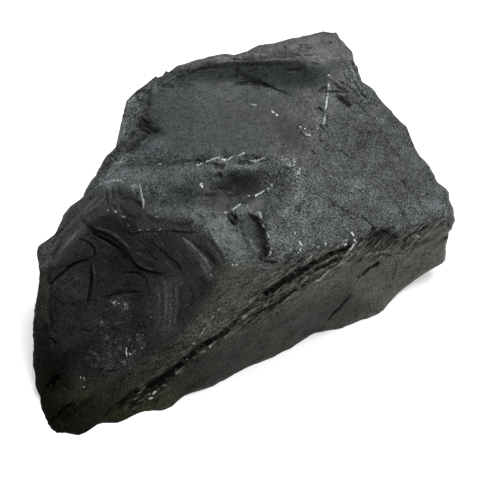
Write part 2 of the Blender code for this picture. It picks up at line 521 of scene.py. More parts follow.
def taper(share, ends):
    """1 along a line's middle and 0 at its two ends."""
    return np.clip(np.minimum(share, 1 - share) / ends, 0, 1)


def within(spots, outline):
    """How far each spot lies inside an outline, in pixels, and below 0 outside it."""
    loop = outline + " " + outline.split()[0]
    reach, _, _ = near_line(spots, loop)
    inside = np.zeros(len(spots), bool)
    corners = [tuple(map(float, pair.split(","))) for pair in loop.split()]
    for (ax, ay), (bx, by) in zip(corners[:-1], corners[1:]):
        spans = (ay > spots[:, 1]) != (by > spots[:, 1])
        if ay != by:
            inside ^= spans & (spots[:, 0] < (bx - ax) * (spots[:, 1] - ay) / (by - ay) + ax)
    return np.where(inside, reach, -reach)


def ramp(values, low, high):
    """0 at low, 1 at high, smooth between."""
    t = np.clip((values - low) / (high - low), 0, 1)
    return t * t * (3 - 2 * t)


def soft_area(spots, outline, soft):
    """1 inside an outline and 0 outside, with an edge that is soft by this many pixels."""
    return ramp(within(spots, outline), -soft, soft)


# How a line's width varies: by how much, over what length in mm and in how many octaves, and
# the least share of it that is left.
LINE_SWING = 0.45
LINE_WAVES = (4.0, 2)
LINE_LEAST = 0.3

# Grooves: half width in pixels, depth in mm, and the line.
GROOVES = {
    "hollow_main": (1.9, 1.6,
        "80,216 84,220 90,225 96,231 103,233 110,236 116,240 123,246 128,253 131,258 135,264 "
        "140,268 148,271 155,273 163,273"),
    "hollow_main_low": (1.6, 1.2, "86,225 94,233 101,238 109,241 116,246 122,251 126,257"),
    "hollow_second": (1.6, 1.0, "79,240 84,240 90,243 94,248 95,254 93,261"),
    "chip_top": (2.0, 1.8, "49,286 54,280 60,275 66,269 73,264 80,261 91,259"),
    "chip_side": (1.6, 1.4, "91,259 91,272 91,282 89,293 88,305"),
    "chip_foot": (1.0, 0.35, "49,288 51,295 57,301 65,303 75,303 85,302"),
    "arc_high": (1.4, 0.8, "117,275 127,272 138,273 144,279 148,288 151,295"),
    "arc_low": (1.5, 0.9, "98,298 110,296 118,293 125,291 138,292 145,290"),
    "wall_crack": (1.4, 1.0, "158,247 167,255 175,262 181,270 183,275"),
    "wall_crack_low": (1.2, 0.6, "192,289 194,300 190,306"),
    "notch_crack": (2.4, 2.6, "45,388 52,381 59,374"),
    "toe_crack": (2.0, 1.2, "56,420 62,410 74,402"),
    "rim_crack": (1.4, 0.9, "122,230 132,234 140,232 155,231 170,231 185,232 202,232"),
    "edge_crack": (1.2, 0.7, "361,215 368,222 374,228"),
    "edge_crack_right": (1.0, 0.5, "397,205 404,216 411,227"),
    "front_low_crack": (1.3, 0.8, "327,321 333,314 339,308 351,295"),
    "front_arc": (1.0, 0.4, "390,282 395,272 396,262 390,254"),
    "front_mid_crack": (1.6, 0.9, "352,286 360,277 368,270 378,263"),
    "lip_shadow": (2.2, 1.8, "364,243 374,236 386,232 398,238"),
}


def rough_line(spots, line, points, half_width):
    """The distance from a line whose width varies, as a share of its half width, and how far
    along the line each spot lies."""
    reach, _, share = near_line(spots, line)
    close = reach < 3 * half_width
    width = np.full(len(spots), half_width, float)
    width[close] *= 1 + LINE_SWING * waves(points[close] + half_width, *LINE_WAVES)
    return reach / np.maximum(width, LINE_LEAST * half_width), share


def relief_from_grooves(spots, points):
    height = np.zeros(len(spots))
    for half_width, depth, line in GROOVES.values():
        reach, share = rough_line(spots, line, points, half_width)
        height -= depth * np.clip(1 - reach, 0, 1) * taper(share, 0.25) ** 0.7
    return height


# Strokes, which are fine light and dark lines: how many times lighter or darker, how far the
# skin rises in mm, the half width in pixels, and the lines. Some of them are painted
# highlights and shadows, marked where they stand.
STROKES = {
    # A painted highlight along the crest's top edge.
    "crest_highlight": (1.8, 0.3, 1.2,
        "156,88 165,82 176,76 189,72 202,67; 212,64 228,61 245,60; 252,60 270,60 296,59"),
    "crest_streaks": (1.25, 0.1, 1.2,
        "230,59 250,54 268,55; 262,50 290,44; 236,60 262,57 285,56; 296,56 330,58 342,58"),
    "crest_ink": (0.5, -0.3, 1.1,
        "230,59 240,60 248,59; 292,53 298,55 303,57; 304,56 313,56; 310,62 316,64 321,65; "
        "300,47 306,48 313,49; 283,47 287,48; 329,43 333,43; 300,45 310,46"),
    # Painted shade at the top of the crest wall, under its edge.
    "crest_edge_shade": (0.6, -0.2, 1.4,
        "178,73 190,72 200,68 212,67 228,67; 234,64 246,64 262,63 280,63 300,62"),
    "roof_ink": (0.5, -0.25, 1.0,
        "352,98 364,110 372,120 380,132; 384,136 392,148 400,158; 387,193 397,204 408,216; "
        "322,130 320,138 322,146; 300,170 306,178; 340,150 350,158; 330,200 336,208; 296,206 "
        "300,216; 362,160 366,170; 310,150 318,156; 402,180 410,192; 345,210 352,220; 312,224 "
        "316,232"),
    "roof_chalk": (1.5, 0.1, 1.0,
        "350,184 360,188 368,186; 346,190 356,194; 330,176 338,180; 300,196 308,202; 390,220 "
        "400,224; 318,210 322,216; 420,196 430,190"),
    "wall_ink": (0.45, -0.3, 1.4,
        "160,87 168,85 174,87; 234,70 244,76 256,77; 238,66 236,80; 248,72 258,69; 284,68 "
        "296,70 305,67; 286,71 298,70; 262,80 250,79 240,80"),
    "wall_light": (1.4, 0.1, 1.4,
        "150,88 160,89 172,89 185,90; 258,68 263,66; 237,79 241,79; 228,66 232,74"),
    # A painted shadow along the foot of the crest wall, and its end below.
    "wall_shadow_line": (0.25, -0.5, 1.7,
        "232,84 244,83 252,83 262,84 270,87 277,90; 248,81 258,82 270,86"),
    "wall_shadow_end": (0.25, -0.4, 0.9, "272,88 280,91 287,94"),
    "floor_ink": (0.72, -0.08, 0.8,
        "178,117 188,118 198,121; 166,129 174,128 180,126; 174,139 182,139; 192,153 199,151; "
        "298,101 307,97; 254,125 262,122; 270,125 276,124; 262,137 254,144; 178,150 186,155; "
        "200,141 210,143; 214,112 224,111"),
    "floor_dash": (0.5, -0.3, 0.9, "185,160 191,161; 196,160 202,161; 172,158 178,157"),
    "floor_light": (1.35, 0.1, 0.9,
        "172,160 180,160; 251,104 256,105 260,107; 276,116 283,120; 110,163 130,164 150,163 "
        "160,164; 118,172 140,170"),
    # Dark grains under the floor's front edge, which also paint the shadow there.
    "edge_ink": (0.35, -0.5, 2.0,
        "211,163 218,165 226,165; 214,167 224,168; 219,172 221,178; 236,163 246,162 254,165"),
    "left_ink": (0.35, -0.5, 1.6,
        "148,101 148,107; 141,118 146,121 150,123; 142,124 148,127 150,131; 146,133 142,129; "
        "136,128 142,124"),
    "left_shadow": (0.55, -0.3, 2.4,
        "148,133 140,140 131,146 122,152; 142,143 134,149 126,154; 118,157 110,164 102,172 "
        "94,182; 128,141 120,149 112,158; 136,131 130,138"),
    "left_light": (1.9, 0.3, 1.0,
        "146,122 151,124 157,127; 151,135 143,143 134,150 124,157 118,166 108,175 97,186; "
        "92,190 98,186 105,182 118,180 126,183"),
    # Painted sheen on the outer edge of the left face, seen at a grazing angle.
    "left_sheen": (1.3, 0.2, 2.2, "136,94 128,103 127,113 125,126 122,138; 149,90 141,93 136,97"),
    "left_spots": (0.4, -0.3, 1.0, "126,131 125,135; 127,118 126,122; 139,99 143,101"),
    "vein": (3.2, 0.1, 1.0, "330,82 328,90 327,97 327,104 326,110; 326,113 325,119 324,125"),
    "vein_ink": (0.3, -0.5, 1.2,
        "316,92 322,91 330,92 347,92; 319,90 327,87; 334,82 337,86 341,89 347,90; 341,82 "
        "344,84; 318,107 321,110 325,113; 325,124 328,128; 320,124 324,130"),
    "right_wedge": (0.42, -0.7, 1.8, "334,96 341,98 347,103 351,108; 338,97 345,103 350,108"),
    "strip_ink": (0.5, -0.3, 1.0,
        "342,60 349,68; 346,66 354,76; 352,62 357,74; 344,72 352,84; 350,74 358,86; 354,82 "
        "364,96; 352,88 360,98; 356,88 366,100; 348,84 352,90; 360,92 370,104"),
    "strip_chalk": (1.7, 0.2, 1.0,
        "341,63 348,72; 344,70 350,80; 350,66 356,78; 348,76 354,84; 354,78 362,90; 352,84 "
        "358,92; 360,94 368,104; 366,98 376,110"),
    "block_line": (2.6, 0.3, 1.2, "131,185 133,190 136,196; 139,184 141,190 143,200 144,210"),
    "block_pale": (1.9, 0.1, 2.6, "134,184 137,192; 146,186 148,198; 140,192 141,200"),
    "block_ink": (0.5, -0.5, 1.4,
        "119,200 124,198 131,198 138,202 142,209; 120,202 122,210 128,215 137,218; 112,186 "
        "113,200; 118,184 120,196; 106,190 108,206; 112,204 116,210"),
    "rim_granules": (0.5, -0.3, 1.8,
        "122,218 130,222 137,228; 146,214 154,220 166,220; 168,222 180,224 194,222; 150,228 "
        "160,232; 196,214 204,220"),
    "rim_lines": (1.7, 0.15, 1.2,
        "52,250 60,236 72,222 86,208; 60,252 70,240 78,230; 76,218 90,204 100,196; 66,230 "
        "80,216; 84,214 98,204 106,196"),
    "rim_ink": (0.55, -0.25, 1.2,
        "52,258 56,251 60,245 62,239; 70,226 78,218; 56,236 64,228; 88,200 96,194; 96,216 "
        "104,218 112,222"),
    # A painted shadow along the hollow's main crack, under its upper slab.
    "main_crack_shadow": (0.45, -0.5, 2.4, "82,218 88,225 94,231; 116,246 122,252 128,259"),
    "main_lip": (2.0, 0.3, 1.1,
        "96,228 104,229 113,233 121,239 127,246 132,253; 95,236 104,242 114,247; 137,262 "
        "144,267 154,270"),
    "second_lip": (1.6, 0.2, 1.0, "82,237 90,240 96,246 98,252"),
    "chip_lip": (1.7, 0.3, 1.0,
        "52,280 62,271 70,266; 53,289 60,280 68,274; 67,288 73,280 80,278; 94,264 95,276 93,290"),
    "arc_lip": (1.6, 0.2, 1.3,
        "134,273 140,277 146,283; 112,302 122,296 134,294 146,294; 118,277 128,275 136,275"),
    "hollow_strokes": (1.9, 0.15, 1.1,
        "148,232 156,243 162,252; 154,229 160,240 168,250; 158,258 168,264 176,272; 130,250 "
        "142,254 156,262; 134,242 150,250; 104,262 112,258; 100,250 110,252; 162,276 166,284; "
        "176,250 186,262"),
    "hollow_ink": (0.5, -0.3, 1.1,
        "128,249 134,251 140,251; 150,236 158,246 162,252; 140,240 150,252 160,262; 102,256 "
        "112,262; 112,268 124,266; 96,282 108,280; 156,268 150,262; 120,286 132,284; 190,285 "
        "192,292; 190,298 193,306; 200,291 204,294; 183,311 188,306; 200,276 205,284; 80,330 "
        "92,332; 62,356 72,350; 96,372 104,368; 142,320 146,330; 130,318 136,324"),
    # A painted highlight along the hollow's right inner wall.
    "wedge_highlight": (2.2, 0.5, 1.7, "181,236 188,241 196,249 203,257; 200,252 207,261 212,270"),
    "wedge_fine": (1.4, 0.2, 1.2, "206,256 213,266 217,277; 196,256 204,268 209,278"),
    "slate_lines": (1.3, 0.1, 1.1, "194,236 204,246 212,256; 204,238 214,250"),
    "striations": (1.6, 0.2, 1.4,
        "164,276 166,296 165,330; 170,290 171,312 169,330; 176,284 177,300 174,326; 158,286 "
        "159,306"),
    "striations_dark": (0.6, -0.2, 1.2,
        "161,280 162,300 161,326; 173,280 174,300; 150,296 152,330; 181,286 182,306 178,322"),
    "hollow_blobs": (1.8, 0.3, 2.0,
        "104,334 108,340; 116,336 122,340; 126,334 130,342; 136,334 142,342; 118,350 126,352; "
        "130,356 136,350; 106,352 112,356; 120,362 126,364; 100,320 103,330; 112,326 120,322; "
        "140,350 146,344"),
    "hollow_ring": (1.8, 0.3, 1.2, "85,354 90,352 96,355 98,361 94,367 88,365 85,359"),
    "toe_ink": (0.35, -0.6, 3.0, "48,387 53,382 58,376"),
    "toe_dark": (0.5, -0.2, 3.0,
        "62,406 68,414 62,422; 70,402 76,408; 50,424 56,416; 74,412 84,404 92,398"),
    "low_ink": (0.35, -0.6, 1.2, "105,372 110,371 116,371; 49,336 53,341 56,344; 66,384 66,388"),
    "left_edge": (1.7, 0.2, 1.6, "40,262 37,280 36,300 35,320; 35,330 36,350 35,368"),
    "left_seam": (0.5, -0.4, 1.6, "51,262 49,276 49,286; 49,298 49,312 51,322 50,334"),
    "trough_ink": (0.7, -0.1, 1.2,
        "172,192 190,196 210,195; 180,200 196,202 214,202; 206,190 222,190 238,194; 226,198 "
        "240,198; 176,190 196,190"),
    "quad_lip": (1.5, 0.2, 0.9, "234,211 239,217; 253,213 257,215 260,219"),
    "quad_ink": (0.4, -0.5, 1.5,
        "227,215 231,220 235,225; 230,213 236,219; 249,216 254,216 259,219; 250,218 256,221; "
        "257,222 261,229; 211,212 215,219"),
    "pocket_edge_ink": (0.5, -0.4, 1.2,
        "240,221 241,230 245,239 250,246 257,256; 262,226 266,236"),
    "pocket_dashes": (2.6, 0.2, 0.8, "242,234 246,239; 250,240 252,242"),
    "pocket_granules": (0.45, -0.5, 2.2,
        "258,245 264,248 268,250; 258,254 264,256; 260,250 266,254"),
    # A painted shadow under the pocket's foot.
    "chin_shadow": (0.35, -0.9, 1.6, "258,257 263,261 271,262 278,261; 288,261 294,256"),
    "chin_rim": (1.5, 0.3, 1.2, "270,258 280,257 290,251 296,246; 256,264 266,268 280,266"),
    "flow_ink": (0.55, -0.3, 0.9, "222,239 227,240 232,243; 231,230 238,231"),
    "flow_light": (1.25, 0.15, 1.4,
        "208,226 214,238 222,250; 216,232 226,236 236,236; 224,244 232,250; 206,234 212,244; "
        "228,258 240,262"),
    "slate_edge": (0.45, -0.3, 2.2, "202,233 211,241 220,252 225,264; 206,250 216,264"),
    "foot_flakes": (1.7, 0.2, 0.9,
        "288,262 296,256; 290,258 299,252; 300,250 308,244; 306,256 314,250"),
    "foot_ink": (0.35, -0.4, 1.0,
        "289,267 296,266 302,264; 283,264 290,262; 286,258 292,254; 296,262 304,258; 308,252 "
        "316,247; 318,252 326,246; 330,250 340,244; 336,246 344,242"),
    "lens_ink": (0.4, -0.4, 1.0,
        "315,280 320,277; 320,276 325,272; 333,270 341,266; 304,276 312,270; 309,278 311,279; "
        "322,269 332,265; 283,289 278,293; 338,252 350,248"),
    "lens_chalk": (2.2, 0.3, 1.1,
        "311,264 316,262 321,260; 306,268 317,267; 302,273 308,271; 324,262 334,258; 330,266 "
        "338,261; 300,284 308,276; 290,286 297,282; 262,306 270,303"),
    # A painted highlight on the seam's lower lip, which catches the light, and its lower run.
    "seam_lip_highlight": (2.8, 0.5, 1.4,
        "314,282 320,280 326,273 331,269; 333,269 341,265 346,261 353,253; 342,258 350,251"),
    "seam_lip_highlight_low": (1.8, 0.3, 1.2,
        "296,292 288,299 279,306; 276,304 266,310 256,316; 352,285 358,279 364,274"),
    "core_chalk": (2.6, 0.4, 0.9,
        "281,284 285,284; 270,290 276,286; 284,278 290,276; 292,274 298,272; 264,297 270,294; "
        "274,294 280,288; 296,278 302,274"),
    "side_ink": (0.45, -0.3, 1.0,
        "266,304 256,312 248,318; 246,322 240,326; 200,359 194,361; 176,374 170,378; 224,336 "
        "216,344; 275,299 284,297; 349,296 353,295; 339,309 344,303 349,297; 333,313 341,308; "
        "357,261 362,259"),
    "right_ink": (0.4, -0.4, 1.2,
        "401,250 404,246 410,243; 396,254 401,252; 422,228 426,226; 414,246 416,242; 418,229 "
        "414,234; 447,227 450,222; 443,240 448,237 452,234; 372,258 380,255 392,254; 374,227 "
        "378,229; 404,240 412,234; 368,262 376,258"),
    "right_chalk": (1.6, 0.3, 1.1,
        "397,258 405,254 411,249; 412,242 418,237 426,229; 430,230 438,224 445,217 448,209; "
        "362,258 369,254 380,252 392,250; 404,236 414,229 424,222 436,219; 442,228 448,220; "
        "358,246 366,239 373,232; 392,229 400,233"),
    "front_lines": (0.75, -0.15, 1.0,
        "396,266 394,276 390,282; 388,270 385,280; 376,276 384,270; 330,290 340,284; 290,320 "
        "300,314; 240,346 252,340"),
    "strip_light": (1.5, 0.25, 1.0,
        "206,328 203,332 200,337 197,341 190,345; 217,311 222,307; 211,319 215,314; 168,345 "
        "176,342 183,338; 172,357 186,350 197,343; 150,361 160,359 172,352; 226,302 236,293; "
        "230,288 244,279; 252,280 264,272; 130,376 142,368; 120,384 130,377"),
    "strip_dark": (0.55, -0.25, 1.0,
        "186,333 191,330; 160,352 170,348 178,343 183,340; 200,330 206,322; 210,324 216,317; "
        "150,356 158,353; 216,300 226,292; 240,288 250,281; 176,352 190,346; 140,366 150,360; "
        "116,384 126,378"),
    "low_chalk": (3.4, 0.4, 1.2,
        "148,399 153,398; 152,396 156,391 160,387; 160,386 167,385; 243,318 248,315; 186,361 "
        "189,358"),
    "low_spots": (2.6, 0.3, 1.1,
        "180,368 184,367; 203,350 206,353; 209,348 212,344; 189,363 191,364; 171,374 173,373; "
        "256,319 260,316"),
    "foot_brown": (0.6, -0.3, 2.4, "128,402 136,404 144,402; 152,404 160,398"),
}


# Glints, which are white grains: half width in pixels, strength, and the lines that they lie
# along. The wide ones are clouds of grains.
GLINTS = {
    "vein": (1.1, 0.95, "327,96 327,104 326,110; 325,117 324,122; 329,83 328,88"),
    "vein_top": (1.2, 0.6, "326,77 329,75 331,78"),
    "curl": (1.1, 0.9,
        "303,131 307,135 312,135; 299,126 302,127; 317,128 319,129; 304,128 306,129"),
    "fleck": (1.4, 0.9, "271,111 275,113; 276,114 279,116"),
    "fleck_high": (1.0, 0.7, "251,104 256,105"),
    "edge_dots": (1.1, 0.9, "158,164 162,164; 165,165 167,165"),
    "edge_left": (1.3, 0.8, "196,166 203,163; 206,162 210,160"),
    "edge_bright": (1.6, 1.0, "210,160 216,158 223,157; 222,159 226,160"),
    "edge_right": (1.4, 0.9, "227,160 231,157 236,155; 236,156 246,153"),
    "edge_middle": (1.3, 0.9, "251,160 256,161 262,159 268,159"),
    "edge_cluster": (9.0, 0.5, "284,160 292,162 298,172"),
    "edge_down": (10.0, 0.36, "298,172 300,188 296,200; 270,168 276,176"),
    "strip_dots": (9.0, 0.24, "346,60 354,74 362,92"),
    "trough_star": (2.2, 0.8, "200,186 203,182; 201,187 204,186"),
    "line_low": (1.1, 1.0, "224,213 227,212; 232,210 236,207 242,203"),
    "line_high": (1.3, 1.0, "255,197 258,194; 258,194 261,193 265,191"),
    "line_dots": (1.4, 0.6, "247,195 250,196; 270,183 273,187; 266,190 270,188"),
    "pocket_edge": (1.1, 1.0, "257,211 260,213 262,219; 262,223 265,229; 266,231 269,238"),
    "pocket_tip": (1.3, 1.0, "265,243 268,248; 270,250 270,254 267,257; 271,248 272,249"),
    "roof_tick": (1.2, 0.95,
        "294,231 296,234; 299,240 301,244 303,246; 300,248 301,252; 298,252 299,253"),
    "flow_dots": (1.5, 1.0, "232,265 234,265; 236,264 238,265"),
    "foot_dots": (1.0, 0.9,
        "290,249 291,250; 309,259 312,256; 317,247 319,246; 326,242 326,246; 330,246 332,246"),
    "lip_white": (1.8, 0.95, "351,232 354,236; 354,239 357,244; 355,243 352,248 349,250"),
    "lip_white_left": (1.2, 0.85, "347,238 346,243 343,247"),
    "lip_line": (1.3, 0.7, "315,282 320,279 326,273"),
    "block_line": (1.2, 0.9, "139,184 141,190 143,200 144,210"),
    "block_chain": (1.3, 0.6,
        "107,211 109,210; 114,210 117,213; 121,216 125,218; 127,225 130,225; 138,230 141,230; "
        "147,229 150,230; 156,217 158,217; 158,230 161,229"),
    "hollow_patch": (5.0, 0.5, "112,303 120,304 128,307"),
    "hollow_core": (1.0, 0.9, "126,346 127,350 127,357; 129,355 131,353"),
    "hollow_dots": (1.0, 0.55,
        "117,348 119,348; 128,340 129,340; 136,340 138,340; 143,335 143,336; 140,348 142,348; "
        "123,361 124,362; 107,337 108,337; 105,344 105,345; 102,321 102,322; 106,310 108,310; "
        "159,318 161,318; 182,282 182,284; 210,274 212,276; 88,358 89,358; 93,355 94,356; "
        "92,362 93,363; 137,334 137,336; 151,317 152,317"),
    "hollow_haze": (13.0, 0.26, "106,338 124,350 140,342"),
    "ring_haze": (5.0, 0.3, "88,358 95,362"),
    "toe_ticks": (0.9, 0.5, "80,376 81,379; 84,376 84,380; 84,384 84,388"),
    "low_streak": (1.4, 1.0, "148,399 153,398; 152,395 156,391"),
    "low_spots": (1.1, 0.7, "186,361 189,358; 182,368 184,367; 210,348 211,344; 243,318 245,317"),
    "strip_line": (0.9, 0.6, "205,328 200,337; 192,345 196,342; 217,311 219,310; 212,318 214,315"),
    "lens_dots": (1.0, 0.8, "281,284 283,284; 284,285 286,286; 396,240 398,240"),
    "pale_patch": (12.0, 0.32, "350,186 368,190"),
    "right_strip": (14.0, 0.18, "345,62 362,90 392,122 420,160"),
    "roof_low": (14.0, 0.24, "285,200 310,230 340,225"),
}

# Drawn lines: how many times darker a groove is, as painted shade that deepens with its
# depth, and the share of its width that is shaded, how wide a glint may be and still be a
# solid white line, the share of its width that is drawn, how full a cloud's middle is, how
# far around a line its field reaches in pixels, and the field where the skin stays fine.
GROOVE_SHADE = 0.22
GROOVE_SHADED_SHARE = 0.7
WHITE_LINE = 2.8
WHITE_WIDTH = 0.66
CLOUD_HEART = 1.7
FIELD_REACH = 3.0
DRAWN_EDGE = 0.25


def close_by(spots, line, margin):
    """Which spots lie in the line's bounding box grown by a margin."""
    corners = np.array([pair.split(",") for pair in line.split()], float)
    low = corners.min(axis=0) - margin
    high = corners.max(axis=0) + margin
    return np.flatnonzero(((spots > low) & (spots < high)).all(axis=1))


def relief_from_strokes(spots, points):
    height = np.zeros(len(spots))
    for _, rise, half_width, lines in STROKES.values():
        for line in lines.split("; "):
            near = close_by(spots, line, 3 * half_width)
            reach, share = rough_line(spots[near], line, points[near], half_width)
            height[near] += rise * ramp(1.5 - reach, 0, 1) * taper(share, 0.15)
    return height


def line_field(spots, drawn):
    """How deep each spot lies in the drawn lines: 0.5 at a line's edge, more inside, less
    outside; and how many times lighter or darker the line is that it lies in."""
    field = np.zeros(len(spots))
    tints = np.ones(len(spots))
    for times, half_width, lines in drawn:
        for line in lines.split("; "):
            near = close_by(spots, line, half_width + FIELD_REACH)
            reach, _, share = near_line(spots[near], line)
            width = half_width * taper(share, 0.25) ** 0.5
            depth = 0.5 + (width - reach) / (2 * FIELD_REACH)
            deeper = depth > field[near]
            field[near[deeper]] = depth[deeper]
            tints[near[deeper]] = times
    return np.clip(field, 0, 1), tints


def ink_lines():
    """The lines that make the skin lighter or darker; the grooves among them darken as painted
    shade, more the deeper they are.
    """
    return [(times, width, lines) for times, _, width, lines in STROKES.values()] + [
        (GROOVE_SHADE ** min(1.0, depth), GROOVE_SHADED_SHARE * width, line)
        for width, depth, line in GROOVES.values()
    ]


def white_lines():
    """The lines of white grains."""
    return [
        (1.0, WHITE_WIDTH * width * strength, lines)
        for width, strength, lines in GLINTS.values()
        if width <= WHITE_LINE
    ]


# Shelves: the skin drops by a height in mm on the right hand of the line, then climbs back
# over a run in pixels.
SHELVES = {
    "hollow_main": (1.7, 30, "78,216 95,233 109,238 120,244 135,265 150,271 164,273"),
    "arc_low": (0.8, 14, "104,302 116,294 124,292 136,292 150,298"),
    "arc_high": (0.7, 16, "112,281 130,272 140,272 152,277"),
    "rim_foot": (1.2, 20, "104,214 114,218 124,226 140,233 160,232 186,231"),
    "left_strip": (-1.0, 12, "62,244 54,258 50,280 50,320 53,350 58,372"),
    "floor_edge": (0.8, 24, "112,168 140,163 165,163 200,160 240,154 262,159 302,160"),
    "upper_front": (0.9, 18, "392,240 356,252 331,261 310,277 295,288 281,302 262,316"),
    "front_lip": (0.8, 26, "404,244 382,246 352,258 330,270 304,292 282,306"),
    "crest_edge": (0.9, 12, "170,78 188,72 206,66 235,64 262,64 304,64"),
    "main_lip": (-0.7, 8, "86,216 97,226 112,231 120,238 132,250 140,262 156,268"),
    "roof_step": (0.5, 16, "306,186 318,196 330,199 344,210 356,214"),
    "roof_step_high": (0.4, 14, "336,128 348,140 362,146 380,160"),
}
SHELF_EDGE = 0.8


def relief_from_shelves(spots):
    height = np.zeros(len(spots))
    for drop, run, line in SHELVES.values():
        reach, side, share = near_line(spots, line)
        fade = np.clip(1 - reach / run, 0, 1) ** 1.5
        edge = ramp(side * reach, -SHELF_EDGE, SHELF_EDGE)
        height -= drop * fade * edge * taper(share, 0.2)
    return height


QUAD = "233,210 243,203 249,204 248,212 240,214 237,212"
# Facets: how soft the edge is in pixels, an outline in pixels, and the height in mm at two
# spots, which the facet slopes between.
FACETS = {
    "recess": (1.4, "140,111 150,119 160,130 150,137 139,131", (141, 122, -0.2), (156, 130, -2.2)),
    "chip": (1.2,
        "49,285 58,277 71,269 78,263 92,260 91,281 89,300 81,304 63,304 50,295",
        (55, 290, 0.5), (90, 270, 1.2)),
    "rim_block": (2.5,
        "114,192 126,188 137,192 141,202 144,212 132,222 118,216 112,206",
        (114, 204, -0.3), (142, 204, -1.8)),
    "pocket_face": (1.2,
        "237,216 244,213 255,217 259,225 266,243 270,257 261,262 252,250 243,235",
        (238, 228, -0.4), (264, 236, -2.4)),
    "quad": (0.9, QUAD, (235, 210, 0.1), (247, 208, 0.8)),
    "plate": (0.9,
        "243,203 266,192 269,200 268,205 262,211 248,213",
        (245, 206, 0.5), (268, 200, -0.5)),
    "knob": (4.0,
        "268,247 278,238 291,239 298,249 290,258 276,262",
        (270, 250, 1.2), (296, 250, 0.9)),
    "left_face": (1.0,
        "150,90 148,104 143,118 152,124 158,129 150,136 143,143 133,149 122,157 116,167 "
        "107,174 96,186 84,194 78,180 100,150 112,120 124,92",
        (148, 126, -1.1), (112, 146, -0.1)),
    "pocket_top": (1.0, "226,213 235,211 238,223 234,227", (226, 216, -0.2), (237, 219, -1.6)),
    "lip_pocket": (1.2,
        "359,240 368,232 374,227 388,226 400,233 397,242 386,246 370,249",
        (380, 227, -2.8), (378, 249, -0.3)),
    "light_wall": (2.0,
        "180,236 192,240 205,250 214,264 219,276 208,280 200,266 190,250",
        (188, 242, 0.4), (210, 272, 1.4)),
}


def relief_from_facets(spots):
    height = np.zeros(len(spots))
    for soft, outline, (ax, ay, low), (bx, by, high) in FACETS.values():
        along = np.array((bx - ax, by - ay), float)
        share = (spots - (ax, ay)) @ along / (along @ along)
        slope = low + (high - low) * np.clip(share, -0.3, 1.3)
        height += slope * soft_area(spots, outline, soft)
    return height


# Strands of the open seam on the front: depth in mm, the line, and the half widths in pixels
# along it.
SEAM = {
    "belly": (3.2,
        "349,250 337,253 328,257 320,261 314,263 307,268 300,272 292,278 283,283 274,290 "
        "267,295 259,300 250,307 244,313 236,321 229,328 218,337 210,342 201,348 193,354 "
        "186,359 180,365 172,372 164,378 156,383 147,389 142,397",
        (1.0, 1.2, 1.3, 1.6, 2.2, 3.4, 4.6, 5.6, 5.2, 5.2, 4.6, 2.2, 1.6, 1.6, 1.8, 2.2, 2.0,
         2.6, 3.2, 4.2, 3.6, 3.2, 3.6, 4.2, 4.6, 5.0, 2.0)),
    "foot": (2.0,
        "140,388 133,393 126,399 120,404 112,410 104,416",
        (2.0, 3.4, 3.6, 3.4, 3.0, 2.0)),
    "upper": (1.5, "366,238 352,246 340,251 328,255", (1.4, 1.8, 1.6, 1.2)),
    "lower": (1.5, "346,256 342,259 333,262 324,266 314,270", (1.0, 1.5, 1.6, 1.6, 1.0)),
    "lens": (1.2,
        "310,279 303,286 295,290 290,293 278,303 262,311 252,318",
        (1.5, 1.5, 1.6, 2.0, 1.5, 1.5, 1.0)),
    "right": (1.3, "381,261 374,266 369,268 364,273 357,279", (1.8, 1.8, 1.2, 1.2, 0.8)),
}
# The torn band round the seam: its outline, the height of its flakes, their run and
# wavelength, and where its relief and its layered colour begin and are full, in pixels.
TORN = (
    "205,345 236,306 262,282 292,262 330,244 362,230 400,226 440,214 452,220 420,244 380,254 "
    "346,268 310,288 284,308 252,326 214,348 150,402 120,416 140,384 175,360"
)
TORN_HEIGHT = 0.9
TORN_SCALE = (9.0, 1.3)
TORN_EDGE = (-5, 4)
TORN_LAYERS = (-3, 5)


def seam(spots, points):
    """The torn open seam on the front: its relief, and how much of it each spot holds."""
    torn = ramp(within(spots, TORN), *TORN_EDGE)
    near = torn > 0
    flaky = np.zeros(len(spots))
    flaky[near] = streaks(points[near], *TORN_SCALE)
    dark = np.zeros(len(spots))
    height = TORN_HEIGHT * torn * flaky
    for depth, line, widths in SEAM.values():
        reach, _, share = near_line(spots, line)
        width = np.interp(share, np.linspace(0, 1, len(widths)), widths) * (1 + 0.7 * flaky)
        opened = np.clip(1.25 * (1 - reach / np.maximum(width, 0.6)), 0, 1) * taper(share, 0.06)
        height -= depth * opened ** 0.7 * (1 + 0.6 * flaky)
        dark = np.maximum(dark, opened)
    return height, dark


# How far above the skin in mm a ray to the camera starts, so that small dents count as seen.
RAY_START = 1.5


def visible_from_camera(points, normals, faces):
    """Whether each point of the skin is seen by the camera."""
    tree = BVHTree.FromPolygons([Vector(p) for p in points], faces)
    eye = Vector(EYE)
    seen = np.zeros(len(points), bool)
    facing = np.einsum("ij,ij->i", EYE - points, normals)
    for n in np.flatnonzero(facing > 0):
        start = Vector(points[n] + RAY_START * normals[n])
        seen[n] = tree.ray_cast(start, eye - start)[0] is None
    return seen


# ---------------------------------------------------------------------------------------
# Regions of the skin
# ---------------------------------------------------------------------------------------

